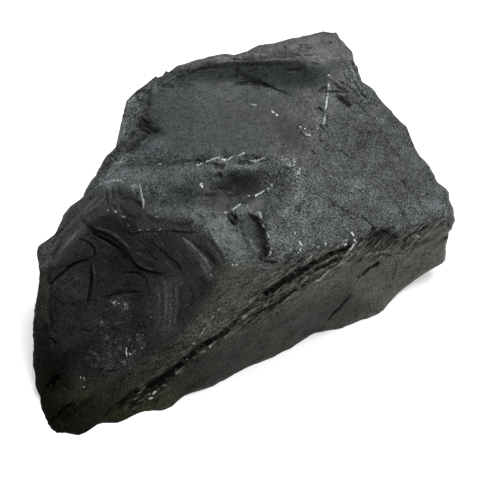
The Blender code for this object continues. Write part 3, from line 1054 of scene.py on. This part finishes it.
HOLLOW = (
    "56,262 64,246 76,232 86,222 100,217 112,213 120,219 140,229 150,232 185,234 200,246 "
    "216,262 217,282 205,300 196,314 184,332 166,346 140,362 120,374 95,388 75,399 60,404 "
    "57,385 52,352 49,320 48,284"
)
FLOOR = (
    "146,92 200,94 240,90 264,92 280,97 290,112 282,138 266,155 240,152 200,158 165,161 "
    "128,162 140,142 152,122 146,108"
)
ROOF = (
    "40,268 56,264 70,248 90,236 110,232 130,234 150,235 185,233 205,245 221,262 250,266 "
    "268,268 290,262 330,246 358,239 390,235 415,231 440,220 470,214 470,10 40,10"
)
WALL = (
    "158,80 175,73 205,68 270,62 345,64 326,84 290,97 262,90 232,90 213,92 185,95 158,93"
)


# How far in mm off the hollow's shell the skin is no longer the hollow's, and how level it is,
# as the upright part of its normal, where it counts as roof on the hidden sides.
SHELL_EDGE = (1.5, 4.5)
ROOF_RISE = (0.5, 0.75)


def regions(points, normals, spots, seen):
    """How far each point belongs to the hollow, the smooth floor and wall, and the rough roof;
    the rest is the matt front and sides."""
    centre = np.array(scar_centre(*SCARS["hollow"]))
    off_shell = np.linalg.norm(points - centre, axis=1) - SCARS["hollow"][2][0]
    hollow = 1 - ramp(off_shell, *SHELL_EDGE)
    hollow *= np.where(seen, soft_area(spots, HOLLOW, 3), 1)
    smooth = np.maximum(soft_area(spots, FLOOR, 8), soft_area(spots, WALL, 5))
    smooth = np.where(seen, smooth, 0) * (1 - hollow)
    roof = np.where(seen, soft_area(spots, ROOF, 2.5), ramp(normals[:, 2], *ROOF_RISE))
    roof *= (1 - hollow) * (1 - smooth)
    return hollow, smooth, roof


# Unevenness of each region in mm: in fine waves, in middle waves, in pits, in big facets and
# in small facets, and below the sizes of these in mm.
ROUGHNESS = {"hollow": (0.08, 0.16, 0.0, 0.25, 0.2), "smooth": (0.03, 0.04, 0.0, 0.0, 0.06),
             "roof": (0.12, 0.10, 0.35, 0.40, 0.40), "front": (0.08, 0.10, 0.10, 0.20, 0.20)}
FINE_WAVES = (1.9, 3)
MIDDLE_WAVES = (6.0, 3)
PIT_WAVES = (2.2, 2)
PIT_EDGES = (0.3, 0.7)
FACET_SIZES = (6.5, 2.3)
FACET_BEND = 1.2

# On the front, unevenness along the layers. In the hollow, large facets as size and height,
# and ripples round the place that the blow came from.
FRONT_STREAKS = (7.0, 1.6)
FRONT_STREAK_HEIGHT = 0.2
HOLLOW_FACETS = (14.0, 0.8)
RIPPLE = 0.6
RIPPLE_LENGTH = 9.0
RIPPLE_SOURCE = (-92, -30, 60)
LITTLE = 0.05


def grain(points, weights):
    """The fine unevenness of the broken rock."""
    amounts = sum(w[:, None] * np.array(ROUGHNESS[name]) for name, w in weights.items())
    fine, broad, pits, *facets = amounts.T
    middle = waves(points + 70, *MIDDLE_WAVES)
    bent = points + FACET_BEND * middle[:, None] * np.array((1, -1, 1))
    rise = fine * waves(points, *FINE_WAVES) + broad * middle
    rise -= pits * ramp(waves(points + 140, *PIT_WAVES), *PIT_EDGES)
    for amount, size in zip(facets, FACET_SIZES):
        rough = amount > 0.02
        rise[rough] += amount[rough] * hackles(bent[rough], size)
    front = weights["front"] > LITTLE
    layered = FRONT_STREAK_HEIGHT * weights["front"][front]
    rise[front] += layered * streaks(points[front], *FRONT_STREAKS)
    hollow = weights["hollow"] > LITTLE
    size, height = HOLLOW_FACETS
    broken = height * hackles(points[hollow] + 2 * middle[hollow, None], size)
    swing = np.linalg.norm(points[hollow] - RIPPLE_SOURCE, axis=1) / RIPPLE_LENGTH
    swing += 0.5 * middle[hollow]
    broken += RIPPLE * (np.abs(np.sin(swing * math.pi)) - 0.6)
    rise[hollow] += weights["hollow"][hollow] * broken
    return rise


def level_underside(mesh):
    """Cut the skin off at the ground and close it there."""
    bm = bmesh.new()
    bm.from_mesh(mesh)
    everything = bm.verts[:] + bm.edges[:] + bm.faces[:]
    cut = bmesh.ops.bisect_plane(
        bm, geom=everything, plane_co=(0, 0, 0), plane_no=(0, 0, -1), clear_outer=True
    )
    rim = [item for item in cut["geom_cut"] if isinstance(item, bmesh.types.BMEdge)]
    bmesh.ops.edgeloop_fill(bm, edges=rim)
    bmesh.ops.triangulate(bm, faces=bm.faces[:])
    bm.to_mesh(mesh)
    bm.free()


def split_weights(points, normals, spots, seen):
    """The share that each point has in each region."""
    hollow, smooth, roof = regions(points, normals, spots, seen)
    return {"hollow": hollow, "smooth": smooth, "roof": roof, "front": 1 - hollow - smooth - roof}


WANDER = 0.6


def wandering(points):
    """Where each point falls in the picture, moved a little so that placed forms aren't ruled."""
    wander = np.stack([waves(points + shift, *MIDDLE_WAVES) for shift in (0, 40)], 1)
    return in_picture(points) + WANDER * wander


def shape_stone():
    """The whole skin in mm: the block, then its unevenness, chips, grain and placed forms."""
    stone = cut_block()
    mesh = stone.data
    points, normals = read_skin(mesh)
    rise = ledges(points, normals)
    for (height, wavelength), octaves in ((SWELL, SWELL_OCTAVES), (LUMPS, LUMP_OCTAVES)):
        rise += height * waves(points, wavelength, octaves)
    facing = normals @ BACK > 0
    for share, outline in CALM.values():
        rise *= 1 - share * facing * soft_area(in_picture(points), outline, CALM_EDGE)
    broad = normals
    points = strike_chips(points + normals * rise[:, None], normals, edge_ends(mesh))
    write_skin(mesh, points)
    points, normals = read_skin(mesh)
    seen = visible_from_camera(points, normals, face_list(mesh))
    spots = wandering(points)
    rise = grain(points, split_weights(points, broad, spots, seen))
    at = spots[seen]
    placed = relief_from_grooves(at, points[seen])
    placed += relief_from_shelves(at)
    placed += relief_from_facets(at)
    placed += seam(at, points[seen])[0]
    placed += relief_from_strokes(at, points[seen])
    rise[seen] += placed
    write_skin(mesh, points + normals * rise[:, None])
    drawn = np.zeros(len(points), bool)
    drawn[seen] = line_field(at, ink_lines() + white_lines())[0] > DRAWN_EDGE
    thin_out(stone, seen, drawn)
    level_underside(stone.data)
    return stone


def thin_out(stone, seen, drawn):
    """Keep fewer points: few where the stone is hidden, and more along the drawn lines."""
    hidden = rings_from(seen, edge_ends(stone.data), EDGE_RINGS + 1) > EDGE_RINGS
    groups = [stone.vertex_groups.new(name=name) for name in ("hidden", "plain")]
    groups[0].add(np.flatnonzero(hidden).tolist(), 1.0, "REPLACE")
    groups[1].add(np.flatnonzero(~drawn).tolist(), PLAIN_THINNED, "REPLACE")
    kept = 1 - (1 - HIDDEN_KEPT) * hidden.mean()
    for group in groups:
        fewer = stone.modifiers.new("fewer", "DECIMATE")
        fewer.vertex_group = group.name
        fewer.ratio = kept
        bake(stone)
        stone.data.calc_loop_triangles()
        kept = min(1.0, MOST_TRIANGLES / len(stone.data.loop_triangles))
    stone.vertex_groups.clear()


# ---------------------------------------------------------------------------------------
# Colours of the skin
# ---------------------------------------------------------------------------------------

# Each region's colour, how strong its grain is, how much it shines, and how many white
# grains are sprinkled on it.
# The hollow's near-black is partly its fresh black fracture and partly painted shade of the
# hollow. The roof's cool grey is partly its dusty face and partly painted sheen.
BASE = {"hollow": (0.0205, 0.0211, 0.0202), "smooth": (0.038, 0.0435, 0.045),
        "roof": (0.0615, 0.0665, 0.0685), "front": (0.071, 0.0735, 0.0615)}
GRAININESS = {"hollow": 0.6, "smooth": 0.42, "roof": 0.95, "front": 0.6}
GLOSS = {"hollow": 0.22, "smooth": 0.2, "roof": 0.25, "front": 0.08}
SPRINKLE = {"hollow": 0.04, "smooth": 0.02, "roof": 0.07, "front": 0.03}

DARK_GRAINS = "280,118 302,120 306,150 284,154"
# Coarser or finer grained areas: how many times, how soft the edge is, and the outline.
COARSER = {
    "roof_low": (1.35, 20, "270,170 330,180 370,230 300,262 262,262 262,200"),
    "dark_grains": (1.4, 8, DARK_GRAINS),
    "roof_far": (1.15, 20, "350,90 400,110 450,200 400,220 350,140"),
    "strip": (1.2, 5, "205,300 240,290 222,330 160,372 130,385 176,340"),
    "floor_near": (1.6, 8, "120,150 260,140 262,158 120,164"),
    "hollow_low": (1.4, 12, "96,320 150,320 158,356 110,376 90,360"),
    "terrace": (0.6, 6, "112,166 200,163 262,162 214,175 166,186 140,192 104,186 100,178"),
    "trough": (0.6, 5, "165,190 215,184 254,172 262,184 258,199 238,205 190,206 168,200"),
    "rim": (0.4, 6, "50,262 56,240 78,205 104,190 144,196 150,226 120,224 96,220 72,240 58,262"),
    "top_band": (0.4, 3, "150,86 200,60 240,48 300,34 345,46 345,60 240,64 205,66 172,74"),
    "band": (0.65, 6, "150,204 185,206 214,213 232,226 256,262 244,270 224,260 202,240 172,220"),
    "plates": (0.35, 1.5, "233,210 243,203 266,192 269,200 268,205 262,211 240,214"),
    "pocket": (0.5, 2, "238,217 244,213 255,217 259,225 266,243 268,257 261,262 252,250 243,235"),
}

# The stone darkens towards its toe: places along X in mm, and how light the front and the
# hollow are there.
TOE_FADE = (-106, -92, -72, -48, -15, 10)
FRONT_FADE = (0.10, 0.17, 0.36, 0.64, 0.95, 1.0)
HOLLOW_FADE = (0.45, 0.7, 0.95, 1.0, 1.0, 1.0)

# Shades: how many times lighter or darker, how soft the edge is in pixels, and the outline. Some
# of them are painted light and shade, marked where they stand.
SHADES = {
    "wall": (0.95, 1.5, WALL),
    "wall_heart": (1.4, 4, "230,66 262,66 276,80 290,93 262,91 236,86"),
    # Painted sheen and light on the crest's top band, seen at a grazing angle.
    "top_band": ((1.42, 1.37, 1.3), 2, "170,62 240,48 300,34 350,44 345,62 205,64 172,72"),
    "dark_grains": (0.33, 8, DARK_GRAINS),
    "floor_far": (0.88, 16, "225,92 300,104 300,145 235,145"),
    "floor_left_end": (2.4, 4, "153,134 162,140 165,158 130,162 112,165 126,156 140,145"),
    "terrace_left": (1.5, 6, "100,170 150,168 156,178 130,187 100,188"),
    # Painted shade in the trough's scoop, which faces away from the light.
    "trough_right_shade": (0.5, 4, "200,190 216,186 232,174 254,174 260,186 250,200 225,208 204,204"),
    "band_left": (1.4, 5, "148,204 190,206 200,220 176,218 152,214"),
    "roof_edge": (1.5, 8, "384,206 440,190 450,206 410,228 384,224"),
    "roof_near": (1.15, 10, "276,190 320,196 320,222 280,222"),
    "front_right_high": (1.12, 8, "398,240 446,214 454,230 430,262 396,264"),
    "strip_heart": (1.35, 5, "174,332 205,312 216,322 190,344"),
    "left_strip": (1.8, 3, "34,262 50,258 48,320 38,330 32,300"),
    "rim_low": (0.95, 5, "100,196 144,196 150,226 120,224 104,210"),
    "hollow_foot": (1.7, 5, "100,356 134,356 128,368 104,374"),
    # Painted light: the hollow's right inner wall made lighter, as it is lit inside the hollow.
    "right_wall_painted_light": (1.7, 8, "146,280 178,276 178,334 150,340"),
    "seam_low": (0.5, 4, "176,366 150,384 128,400 140,402 164,386"),
    "terrace": (1.62, 6,
        "112,166 200,163 262,162 258,170 214,175 166,186 140,192 104,186 100,178"),
    # Painted shade: the trough's scoop faces away from the light, darkest at its heart.
    "trough": ((0.37, 0.40, 0.42), 5,
        "165,190 185,186 215,184 232,172 254,172 262,184 258,199 238,205 215,209 190,206 "
        "168,200"),
    "trough_shade_heart": (0.62, 5, "232,174 250,173 257,186 246,197 233,194"),
    "rim_block": (0.8, 3, "112,192 126,188 137,191 142,204 140,214 118,212"),
    "block_foot": (0.55, 4, "112,214 140,214 148,228 124,228"),
    "rim_light": ((0.78, 0.77, 0.69), 6,
        "60,214 78,205 104,192 116,212 122,230 104,232 84,216 72,238 58,262 50,258"),
    "rim_dark": (0.6, 5, "146,216 170,216 192,222 196,232 176,233 150,231"),
    "band": (1.3, 7,
        "150,204 185,206 214,213 236,232 256,262 244,270 224,260 202,240 172,220 152,214"),
    "band_low": (1.25, 6, "208,216 232,226 250,258 236,270 222,262"),
    "pocket_quad": (1.15, 2, "234,208 243,204 251,212 240,216"),
    "pocket_plate": (0.85, 2, "244,203 264,195 268,205 260,212 250,212"),
    "pocket": (1.35, 2, "238,217 244,214 255,217 259,225 266,243 268,257 261,262 252,250 243,235"),
    "pocket_dark": (0.75, 1.5, "247,214 257,214 262,222 268,238 262,238 256,224"),
    "slate_wall": (0.5, 3, "190,233 206,236 222,256 220,272 206,252"),
    # Painted highlight and light on the hollow's right inner wall.
    "hollow_highlight_streak": (3.0, 1.5, "179,235 190,241 204,255 215,277 208,281 198,262"),
    "hollow_wall_painted_light": (1.35, 6, "178,240 196,258 208,280 200,306 180,322 172,280"),
    "striations": (1.5, 6, "160,276 175,280 177,334 158,338"),
    "chip": (1.3, 2, "56,284 72,272 88,264 88,296 64,301"),
    "facet_b": (0.4, 1, "226,214 232,212 239,218 236,220 235,226 231,222"),
    "pocket_roof": (0.35, 1.5, "248,215 253,214 257,217 260,220 256,223 252,220 248,219"),
    "pale_lens": (1.3, 1.5, "221,219 227,217 235,227 228,230 225,228"),
    "pocket_foot": (0.4, 3, "258,244 269,243 270,258 262,260 257,255"),
    "arc_patch": (2.4, 2, "109,303 115,301 122,302 130,305 130,309 124,310 116,306"),
    "quad": (1.8, 1.2, QUAD),
    "hollow_heart": (0.75, 8, "112,246 136,262 140,272 112,276 100,262"),
    "corner_shadow": (0.35, 7, "50,350 74,354 72,390 52,392"),
    "hollow_rim": (1.6, 8, "58,262 66,240 84,220 100,226 104,240 84,252 70,262"),
    "toe": ((1.05, 1.03, 0.75), 20, "30,380 60,370 110,395 190,385 190,420 60,440 30,430"),
    # Painted sheen: the left face and its lower part, seen at a grazing angle, made lighter.
    "left_face": (2.1, 4, "136,94 142,112 130,130 108,150 96,160 110,124 122,100"),
    "left_face_low": (1.5, 4, "130,128 127,150 110,172 90,188 92,168 112,140"),
    "right_strip": (1.2, 5, "336,56 352,52 366,84 356,96 340,92"),
    # Painted shade in the hollow's lower left corner, above corner_shadow.
    "corner_shadow_high": (0.75, 6, "54,336 92,338 94,372 56,372"),
    "left_dark": (0.95, 3, "151,128 138,141 118,158 100,177 86,192 94,170 114,148 130,134"),
    "recess": (0.5, 3, "139,114 152,122 156,130 146,136 138,130"),
    "pale_patch": (1.18, 8, "340,178 368,176 384,190 372,200 346,196"),
    "right_dull": (0.85, 14, "350,120 396,130 440,190 400,210 350,160"),
    # Painted shade in the pocket under the front lip.
    "lip": (0.42, 2.5, "364,242 374,231 390,229 400,238 398,246 380,252 366,252"),
    "upper_strip": (1.1, 4, "222,266 268,272 300,262 262,300 200,344 204,300"),
    # Painted shade: the lower front made darker, as the light falls from above.
    "front_low": (0.46, 10, "170,372 262,318 350,284 366,310 280,360 180,402"),
}



def blend(weights, values):
    """Each point's value, mixed from those of its regions."""
    return sum(w[:, None] * np.atleast_1d(values[name]) for name, w in weights.items())


def add_colour(mesh, name, values):
    """Store up to three values a point for the material to read."""
    layer = mesh.color_attributes.new(name, "FLOAT_COLOR", "POINT")
    whole = np.ones((len(values), 4))
    whole[:, : values.shape[1]] = values
    layer.data.foreach_set("color", whole.ravel())


def colour_stone(mesh):
    """Give the skin its base colour, its drawn lines, and how much it has of white grains, the
    seam's black and painted shade, grain, smoothness, torn layers and gloss."""
    points, normals = read_skin(mesh)
    seen = visible_from_camera(points, normals, face_list(mesh))
    spots = wandering(points)
    weights = split_weights(points, normals, spots, seen)
    base = blend(weights, BASE)
    front_fade = np.interp(points[:, 0], TOE_FADE, FRONT_FADE)
    hollow_fade = np.interp(points[:, 0], TOE_FADE, HOLLOW_FADE)
    darker = weights["front"] * (front_fade - 1) + weights["hollow"] * (hollow_fade - 1)
    base *= 1 + darker[:, None]
    at = spots[seen]
    factor = np.ones((len(at), 3))
    for times, soft, outline in SHADES.values():
        factor *= np.array(times) ** soft_area(at, outline, soft)[:, None]
    base[seen] *= factor
    add_colour(mesh, "stone", base)

    drawn = np.zeros((len(points), 3))
    drawn[:, 1] = 1
    drawn[seen, 0], drawn[seen, 1] = line_field(at, ink_lines())
    drawn[seen, 2] = line_field(at, white_lines())[0]
    add_colour(mesh, "lines", drawn)

    glint = blend(weights, SPRINKLE)[:, 0]
    for half_width, strength, lines in GLINTS.values():
        if half_width > WHITE_LINE:
            for line in lines.split("; "):
                near = np.flatnonzero(seen)[close_by(at, line, half_width)]
                reach, _, _ = near_line(spots[near], line)
                cloud = strength * np.clip(CLOUD_HEART * (1 - reach / half_width), 0, 1)
                glint[near] = np.maximum(glint[near], cloud)
    # The open seam's dark, partly its black rock and partly painted shade under its lip.
    seam_black_and_shade = np.zeros(len(points))
    seam_black_and_shade[seen] = seam(at, points[seen])[1]
    graininess = blend(weights, GRAININESS)[:, 0]
    for times, soft, outline in COARSER.values():
        graininess[seen] *= times ** soft_area(at, outline, soft)
    torn = np.zeros(len(points))
    torn[seen] = ramp(within(at, TORN), *TORN_LAYERS)
    gloss = blend(weights, GLOSS)[:, 0] * front_fade
    add_colour(mesh, "zones", np.stack((weights["smooth"], torn, gloss), 1))
    add_colour(mesh, "marks", np.stack((glint, seam_black_and_shade, graininess), 1))


# ---------------------------------------------------------------------------------------
# Material, floor, light and camera
# ---------------------------------------------------------------------------------------


class Shader:
    """Short names for making and joining shader nodes."""

    def __init__(self, material):
        material.use_nodes = True
        self.tree = material.node_tree
        self.surface = self.tree.nodes["Principled BSDF"]

    def put(self, socket, value):
        if isinstance(value, bpy.types.NodeSocket):
            self.tree.links.new(value, socket)
        else:
            socket.default_value = value

    def add(self, kind, inputs=None, out=0, **settings):
        node = self.tree.nodes.new(kind)
        for key, value in settings.items():
            setattr(node, key, value)
        for key, value in (inputs or {}).items():
            self.put(node.inputs[key], value)
        return node.outputs[out]

    def math(self, operation, *values):
        inputs = dict(enumerate(values))
        return self.add("ShaderNodeMath", inputs, operation=operation)

    def noise(self, where, size, detail, rough):
        inputs = {"Vector": where, "Scale": 1 / (size * MM), "Detail": detail, "Roughness": rough}
        return self.add("ShaderNodeTexNoise", inputs)

    def fit(self, value, low, high, to_low=0.0, to_high=1.0):
        """The value moved from one range to another, and kept within it."""
        inputs = {"Value": value, "From Min": low, "From Max": high}
        inputs.update({"To Min": to_low, "To Max": to_high})
        return self.add("ShaderNodeMapRange", inputs)

    def channels(self, name):
        """The three values that the skin stores under a name."""
        split = self.tree.nodes.new("ShaderNodeSeparateColor")
        self.put(split.inputs[0], self.add("ShaderNodeAttribute", attribute_name=name))
        return split.outputs

    def scale_colour(self, colour, amount):
        return self.add("ShaderNodeVectorMath", {0: colour, "Scale": amount}, operation="SCALE")

    def mix(self, share, first, second):
        """A colour mix: sockets 6 and 7 are its two colours, and output 2 the result."""
        inputs = {"Factor": share, 6: first, 7: second}
        return self.add("ShaderNodeMix", inputs, out=2, data_type="RGBA")


# The light: the pale surround, and the sun's bearing, rise, strength and spread in degrees.
WHITE = (1, 1, 1, 1)
WORLD_STRENGTH = 0.3
SUN = (0, 60, 3.0, 40)

# The floor, in metres: half its width, and how far it lies below the stone.
FLOOR_HALF = 1.5
FLOOR_GAP = 0.0001
FLOOR_COLOUR = (0.8, 0.8, 0.8, 1)
FLOOR_ROUGHNESS = 0.8
FLOOR_GLOW = 0.45

# Noises of the material: size in mm, detail and roughness. The fine grains are near the size
# of a pixel.
FINE_GRAIN = (0.75, 2.0, 0.75)
MIDDLE_GRAIN = (2.2, 2.0, 0.6)
CLOUDS = (8.0, 4.0, 0.6)
DARK_SPECKS = (1.0, 2.0, 0.6)
PALE_SPECKS = (0.8, 1.0, 0.6)
WHITE_GRAINS = (0.6, 2.0, 0.5)
LAYER_GRAIN = (1.0, 3.0, 0.7)
FLOOR_STROKES = (0.9, 3.0, 0.7)
LINE_EDGES = (1.3, 3.0, 0.7)
HAIR_PATHS = (9.0, 3.0, 0.55)

# How far each of them swings the colour, and the darkest that the swing may make it.
FINE_SWING = 7.0
MIDDLE_SWING = 0.7
CLOUD_SWING = 0.9
DARK_SWING = 0.75
PALE_SWING = 1.1
LAYER_SWING = 1.2
TORN_SWING = 1.6
DARKEST = 0.15

# How the layers of the rock lie, and the strokes on the smooth floor: turn and stretch.
LAYER_LIE = {"Rotation": (0, -0.35, 0), "Scale": (6, 3, 1)}
STROKE_LIE = {"Rotation": (0, 0, -0.6), "Scale": (6, 1.5, 1)}

HAIR_COLOUR = (0.012, 0.012, 0.011, 1)
SLIT_COLOUR = (0.006, 0.006, 0.005, 1)
BROKEN_EDGE_COLOUR = (0.30, 0.31, 0.28, 1)
# The open seam's dark: partly its black rock, partly painted shade.
SEAM_BLACK_AND_SHADE_COLOUR = (0.008, 0.008, 0.007, 1)
WHITE_COLOUR = (0.62, 0.65, 0.66, 1)
ROUGHNESS_RANGE = (0.38, 0.56)
BUMP_STRENGTH = 0.8
BUMP_HEIGHT = 0.25
HAIR_DEPTH = 0.5


def stone_material():
    """Rock whose colour comes from the skin's stored values and is varied by noises."""
    material = bpy.data.materials.new("shungite")
    shader = Shader(material)
    where = shader.add("ShaderNodeTexCoord", out="Object")
    base = shader.add("ShaderNodeAttribute", attribute_name="stone")
    glint, seam_black_and_shade, graininess = shader.channels("marks")
    smooth, torn, gloss = shader.channels("zones")
    drawn, times, white = shader.channels("lines")

    # Grains, with dark and pale specks gathered in clouds.
    fine = shader.noise(where, *FINE_GRAIN)
    middle = shader.noise(where, *MIDDLE_GRAIN)
    cloud = shader.noise(where, *CLOUDS)
    swing = shader.math("MULTIPLY", shader.math("SUBTRACT", fine, 0.5), FINE_SWING)
    swing = shader.math("MULTIPLY_ADD", shader.math("SUBTRACT", middle, 0.5), MIDDLE_SWING, swing)
    swing = shader.math("MULTIPLY_ADD", shader.math("SUBTRACT", cloud, 0.5), CLOUD_SWING, swing)
    gathered = shader.math("SUBTRACT", 0.5, cloud)
    pepper = shader.math("MULTIPLY_ADD", gathered, 0.5, shader.noise(where, *DARK_SPECKS))
    swing = shader.math("SUBTRACT", swing, shader.fit(pepper, 0.56, 0.62, 0.0, DARK_SWING))
    gathered = shader.math("SUBTRACT", cloud, 0.5)
    salt = shader.math("MULTIPLY_ADD", gathered, 0.4, shader.noise(where, *PALE_SPECKS))
    swing = shader.math("ADD", swing, shader.fit(salt, 0.60, 0.68, 0.0, PALE_SWING))

    # The layers of the rock, and short level strokes on the smooth floor.
    lie = shader.add("ShaderNodeMapping", {"Vector": where, **LAYER_LIE}, vector_type="TEXTURE")
    layers = shader.noise(lie, *LAYER_GRAIN)
    layered = shader.math("SUBTRACT", layers, 0.5)
    swing = shader.math("MULTIPLY_ADD", layered, LAYER_SWING, swing)
    lie = shader.add("ShaderNodeMapping", {"Vector": where, **STROKE_LIE}, vector_type="TEXTURE")
    strokes = shader.fit(shader.noise(lie, *FLOOR_STROKES), 0.5, 0.66, 0.06, -0.5)
    strokes = shader.math("MULTIPLY", strokes, smooth)
    flakes = shader.math("MULTIPLY", layered, TORN_SWING)
    strokes = shader.math("MULTIPLY_ADD", flakes, torn, strokes)
    swing = shader.math("ADD", shader.math("MULTIPLY", swing, graininess), strokes)
    tint = shader.math("MAXIMUM", shader.math("ADD", swing, 1.0), DARKEST)

    # The drawn lines, with ragged edges.
    wobble = shader.math("MULTIPLY_ADD", shader.noise(where, *LINE_EDGES), 0.3, -0.15)
    inside = shader.fit(shader.math("ADD", drawn, wobble), 0.45, 0.56)
    tint = shader.math("MULTIPLY", tint, shader.math("POWER", times, inside))
    colour = shader.scale_colour(base, tint)

    # Hairline cracks, where the clouds are light.
    hair = shader.math("SUBTRACT", shader.noise(where, *HAIR_PATHS), 0.5)
    hair = shader.fit(shader.math("ABSOLUTE", hair), 0.0, 0.009, 1.0, 0.0)
    hair = shader.math("MULTIPLY", hair, shader.fit(cloud, 0.48, 0.54))
    colour = shader.mix(shader.math("MULTIPLY", hair, 0.7), colour, HAIR_COLOUR)

    # Open slits and pale broken edges between the layers of the torn band.
    slits = shader.math("MULTIPLY", shader.fit(layers, 0.46, 0.40), torn)
    edges = shader.math("MULTIPLY", shader.fit(layers, 0.57, 0.65), torn)
    colour = shader.mix(shader.math("MULTIPLY", slits, 0.8), colour, SLIT_COLOUR)
    colour = shader.mix(shader.math("MULTIPLY", edges, 0.5), colour, BROKEN_EDGE_COLOUR)

    # The dark of the open seam, broken up along the layers: partly its black rock and partly
    # painted shade under its overhanging lip.
    broken = shader.math("MULTIPLY_ADD", layered, -2.0, middle)
    deep = shader.math("SUBTRACT", shader.math("MULTIPLY", seam_black_and_shade, 1.5), broken)
    colour = shader.mix(shader.fit(deep, 0.0, 0.3), colour, SEAM_BLACK_AND_SHADE_COLOUR)

    # White grains, strewn where there is glint and close together along the white lines.
    grains = shader.noise(where, *WHITE_GRAINS)
    edge = shader.math("SUBTRACT", 0.80, shader.math("MULTIPLY", glint, 0.46))
    bright = shader.fit(shader.math("SUBTRACT", grains, edge), 0.0, 0.05)
    ragged = shader.math("MULTIPLY_ADD", grains, 0.55, -0.29)
    line = shader.fit(shader.math("ADD", white, ragged), 0.47, 0.57)
    colour = shader.mix(shader.math("MAXIMUM", bright, line), colour, WHITE_COLOUR)

    height = shader.math("ADD", fine, middle)
    cracks = shader.math("MULTIPLY", hair, -HAIR_DEPTH)
    height = shader.math("MULTIPLY_ADD", height, graininess, cracks)
    bump = {"Strength": BUMP_STRENGTH, "Distance": BUMP_HEIGHT * MM, "Height": height}
    surface = shader.surface.inputs
    shader.put(surface["Base Color"], colour)
    shader.put(surface["Roughness"], shader.fit(middle, 0.3, 0.7, *ROUGHNESS_RANGE))
    shader.put(surface["Specular IOR Level"], gloss)
    shader.put(surface["Normal"], shader.add("ShaderNodeBump", bump))
    return material


def floor_material():
    material = bpy.data.materials.new("floor")
    shader = Shader(material)
    shader.put(shader.surface.inputs["Base Color"], FLOOR_COLOUR)
    shader.put(shader.surface.inputs["Roughness"], FLOOR_ROUGHNESS)
    shader.put(shader.surface.inputs["Emission Color"], WHITE)
    shader.put(shader.surface.inputs["Emission Strength"], FLOOR_GLOW)
    return material


def add_floor():
    """A pale floor that glows a little, so that it stays white under the soft light."""
    bm = bmesh.new()
    bmesh.ops.create_grid(bm, x_segments=1, y_segments=1, size=FLOOR_HALF)
    floor = object_from("floor", bm)
    floor.location.z = -FLOOR_GAP
    floor.data.materials.append(floor_material())


def add_world():
    world = bpy.data.worlds.new("studio")
    bpy.context.scene.world = world
    world.use_nodes = True
    world.node_tree.nodes["Background"].inputs[0].default_value = WHITE
    world.node_tree.nodes["Background"].inputs[1].default_value = WORLD_STRENGTH


def add_camera():
    """The camera of the photograph."""
    data = bpy.data.cameras.new("camera")
    data.lens = LENS
    data.sensor_width = SENSOR
    camera = new_object("camera", data)
    camera.location = Vector((EYE - np.array(ORIGIN)) * MM)
    camera.rotation_mode = "QUATERNION"
    camera.rotation_quaternion = Vector(-BACK).to_track_quat("-Z", "Y")
    bpy.context.scene.camera = camera


def add_sun(bearing, rise, strength, spread):
    """A soft light from far away, the size of a studio's light tent."""
    data = bpy.data.lights.new("softbox", "SUN")
    data.energy = strength
    data.angle = math.radians(spread)
    light = new_object("softbox", data)
    light.rotation_mode = "QUATERNION"
    light.rotation_quaternion = direction(bearing, rise).to_track_quat("Z", "Y")


stone = shape_stone()
colour_stone(stone.data)
points, _ = read_skin(stone.data)
write_skin(stone.data, (points - np.array(ORIGIN)) * MM)
stone.name = "shungite_skin"
stone.data.shade_smooth()
stone.data.materials.append(stone_material())
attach(stone, "root")
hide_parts("shungite_stone")

add_floor()
add_camera()
add_world()
add_sun(*SUN)
bpy.context.scene.view_settings.view_transform = "Standard"
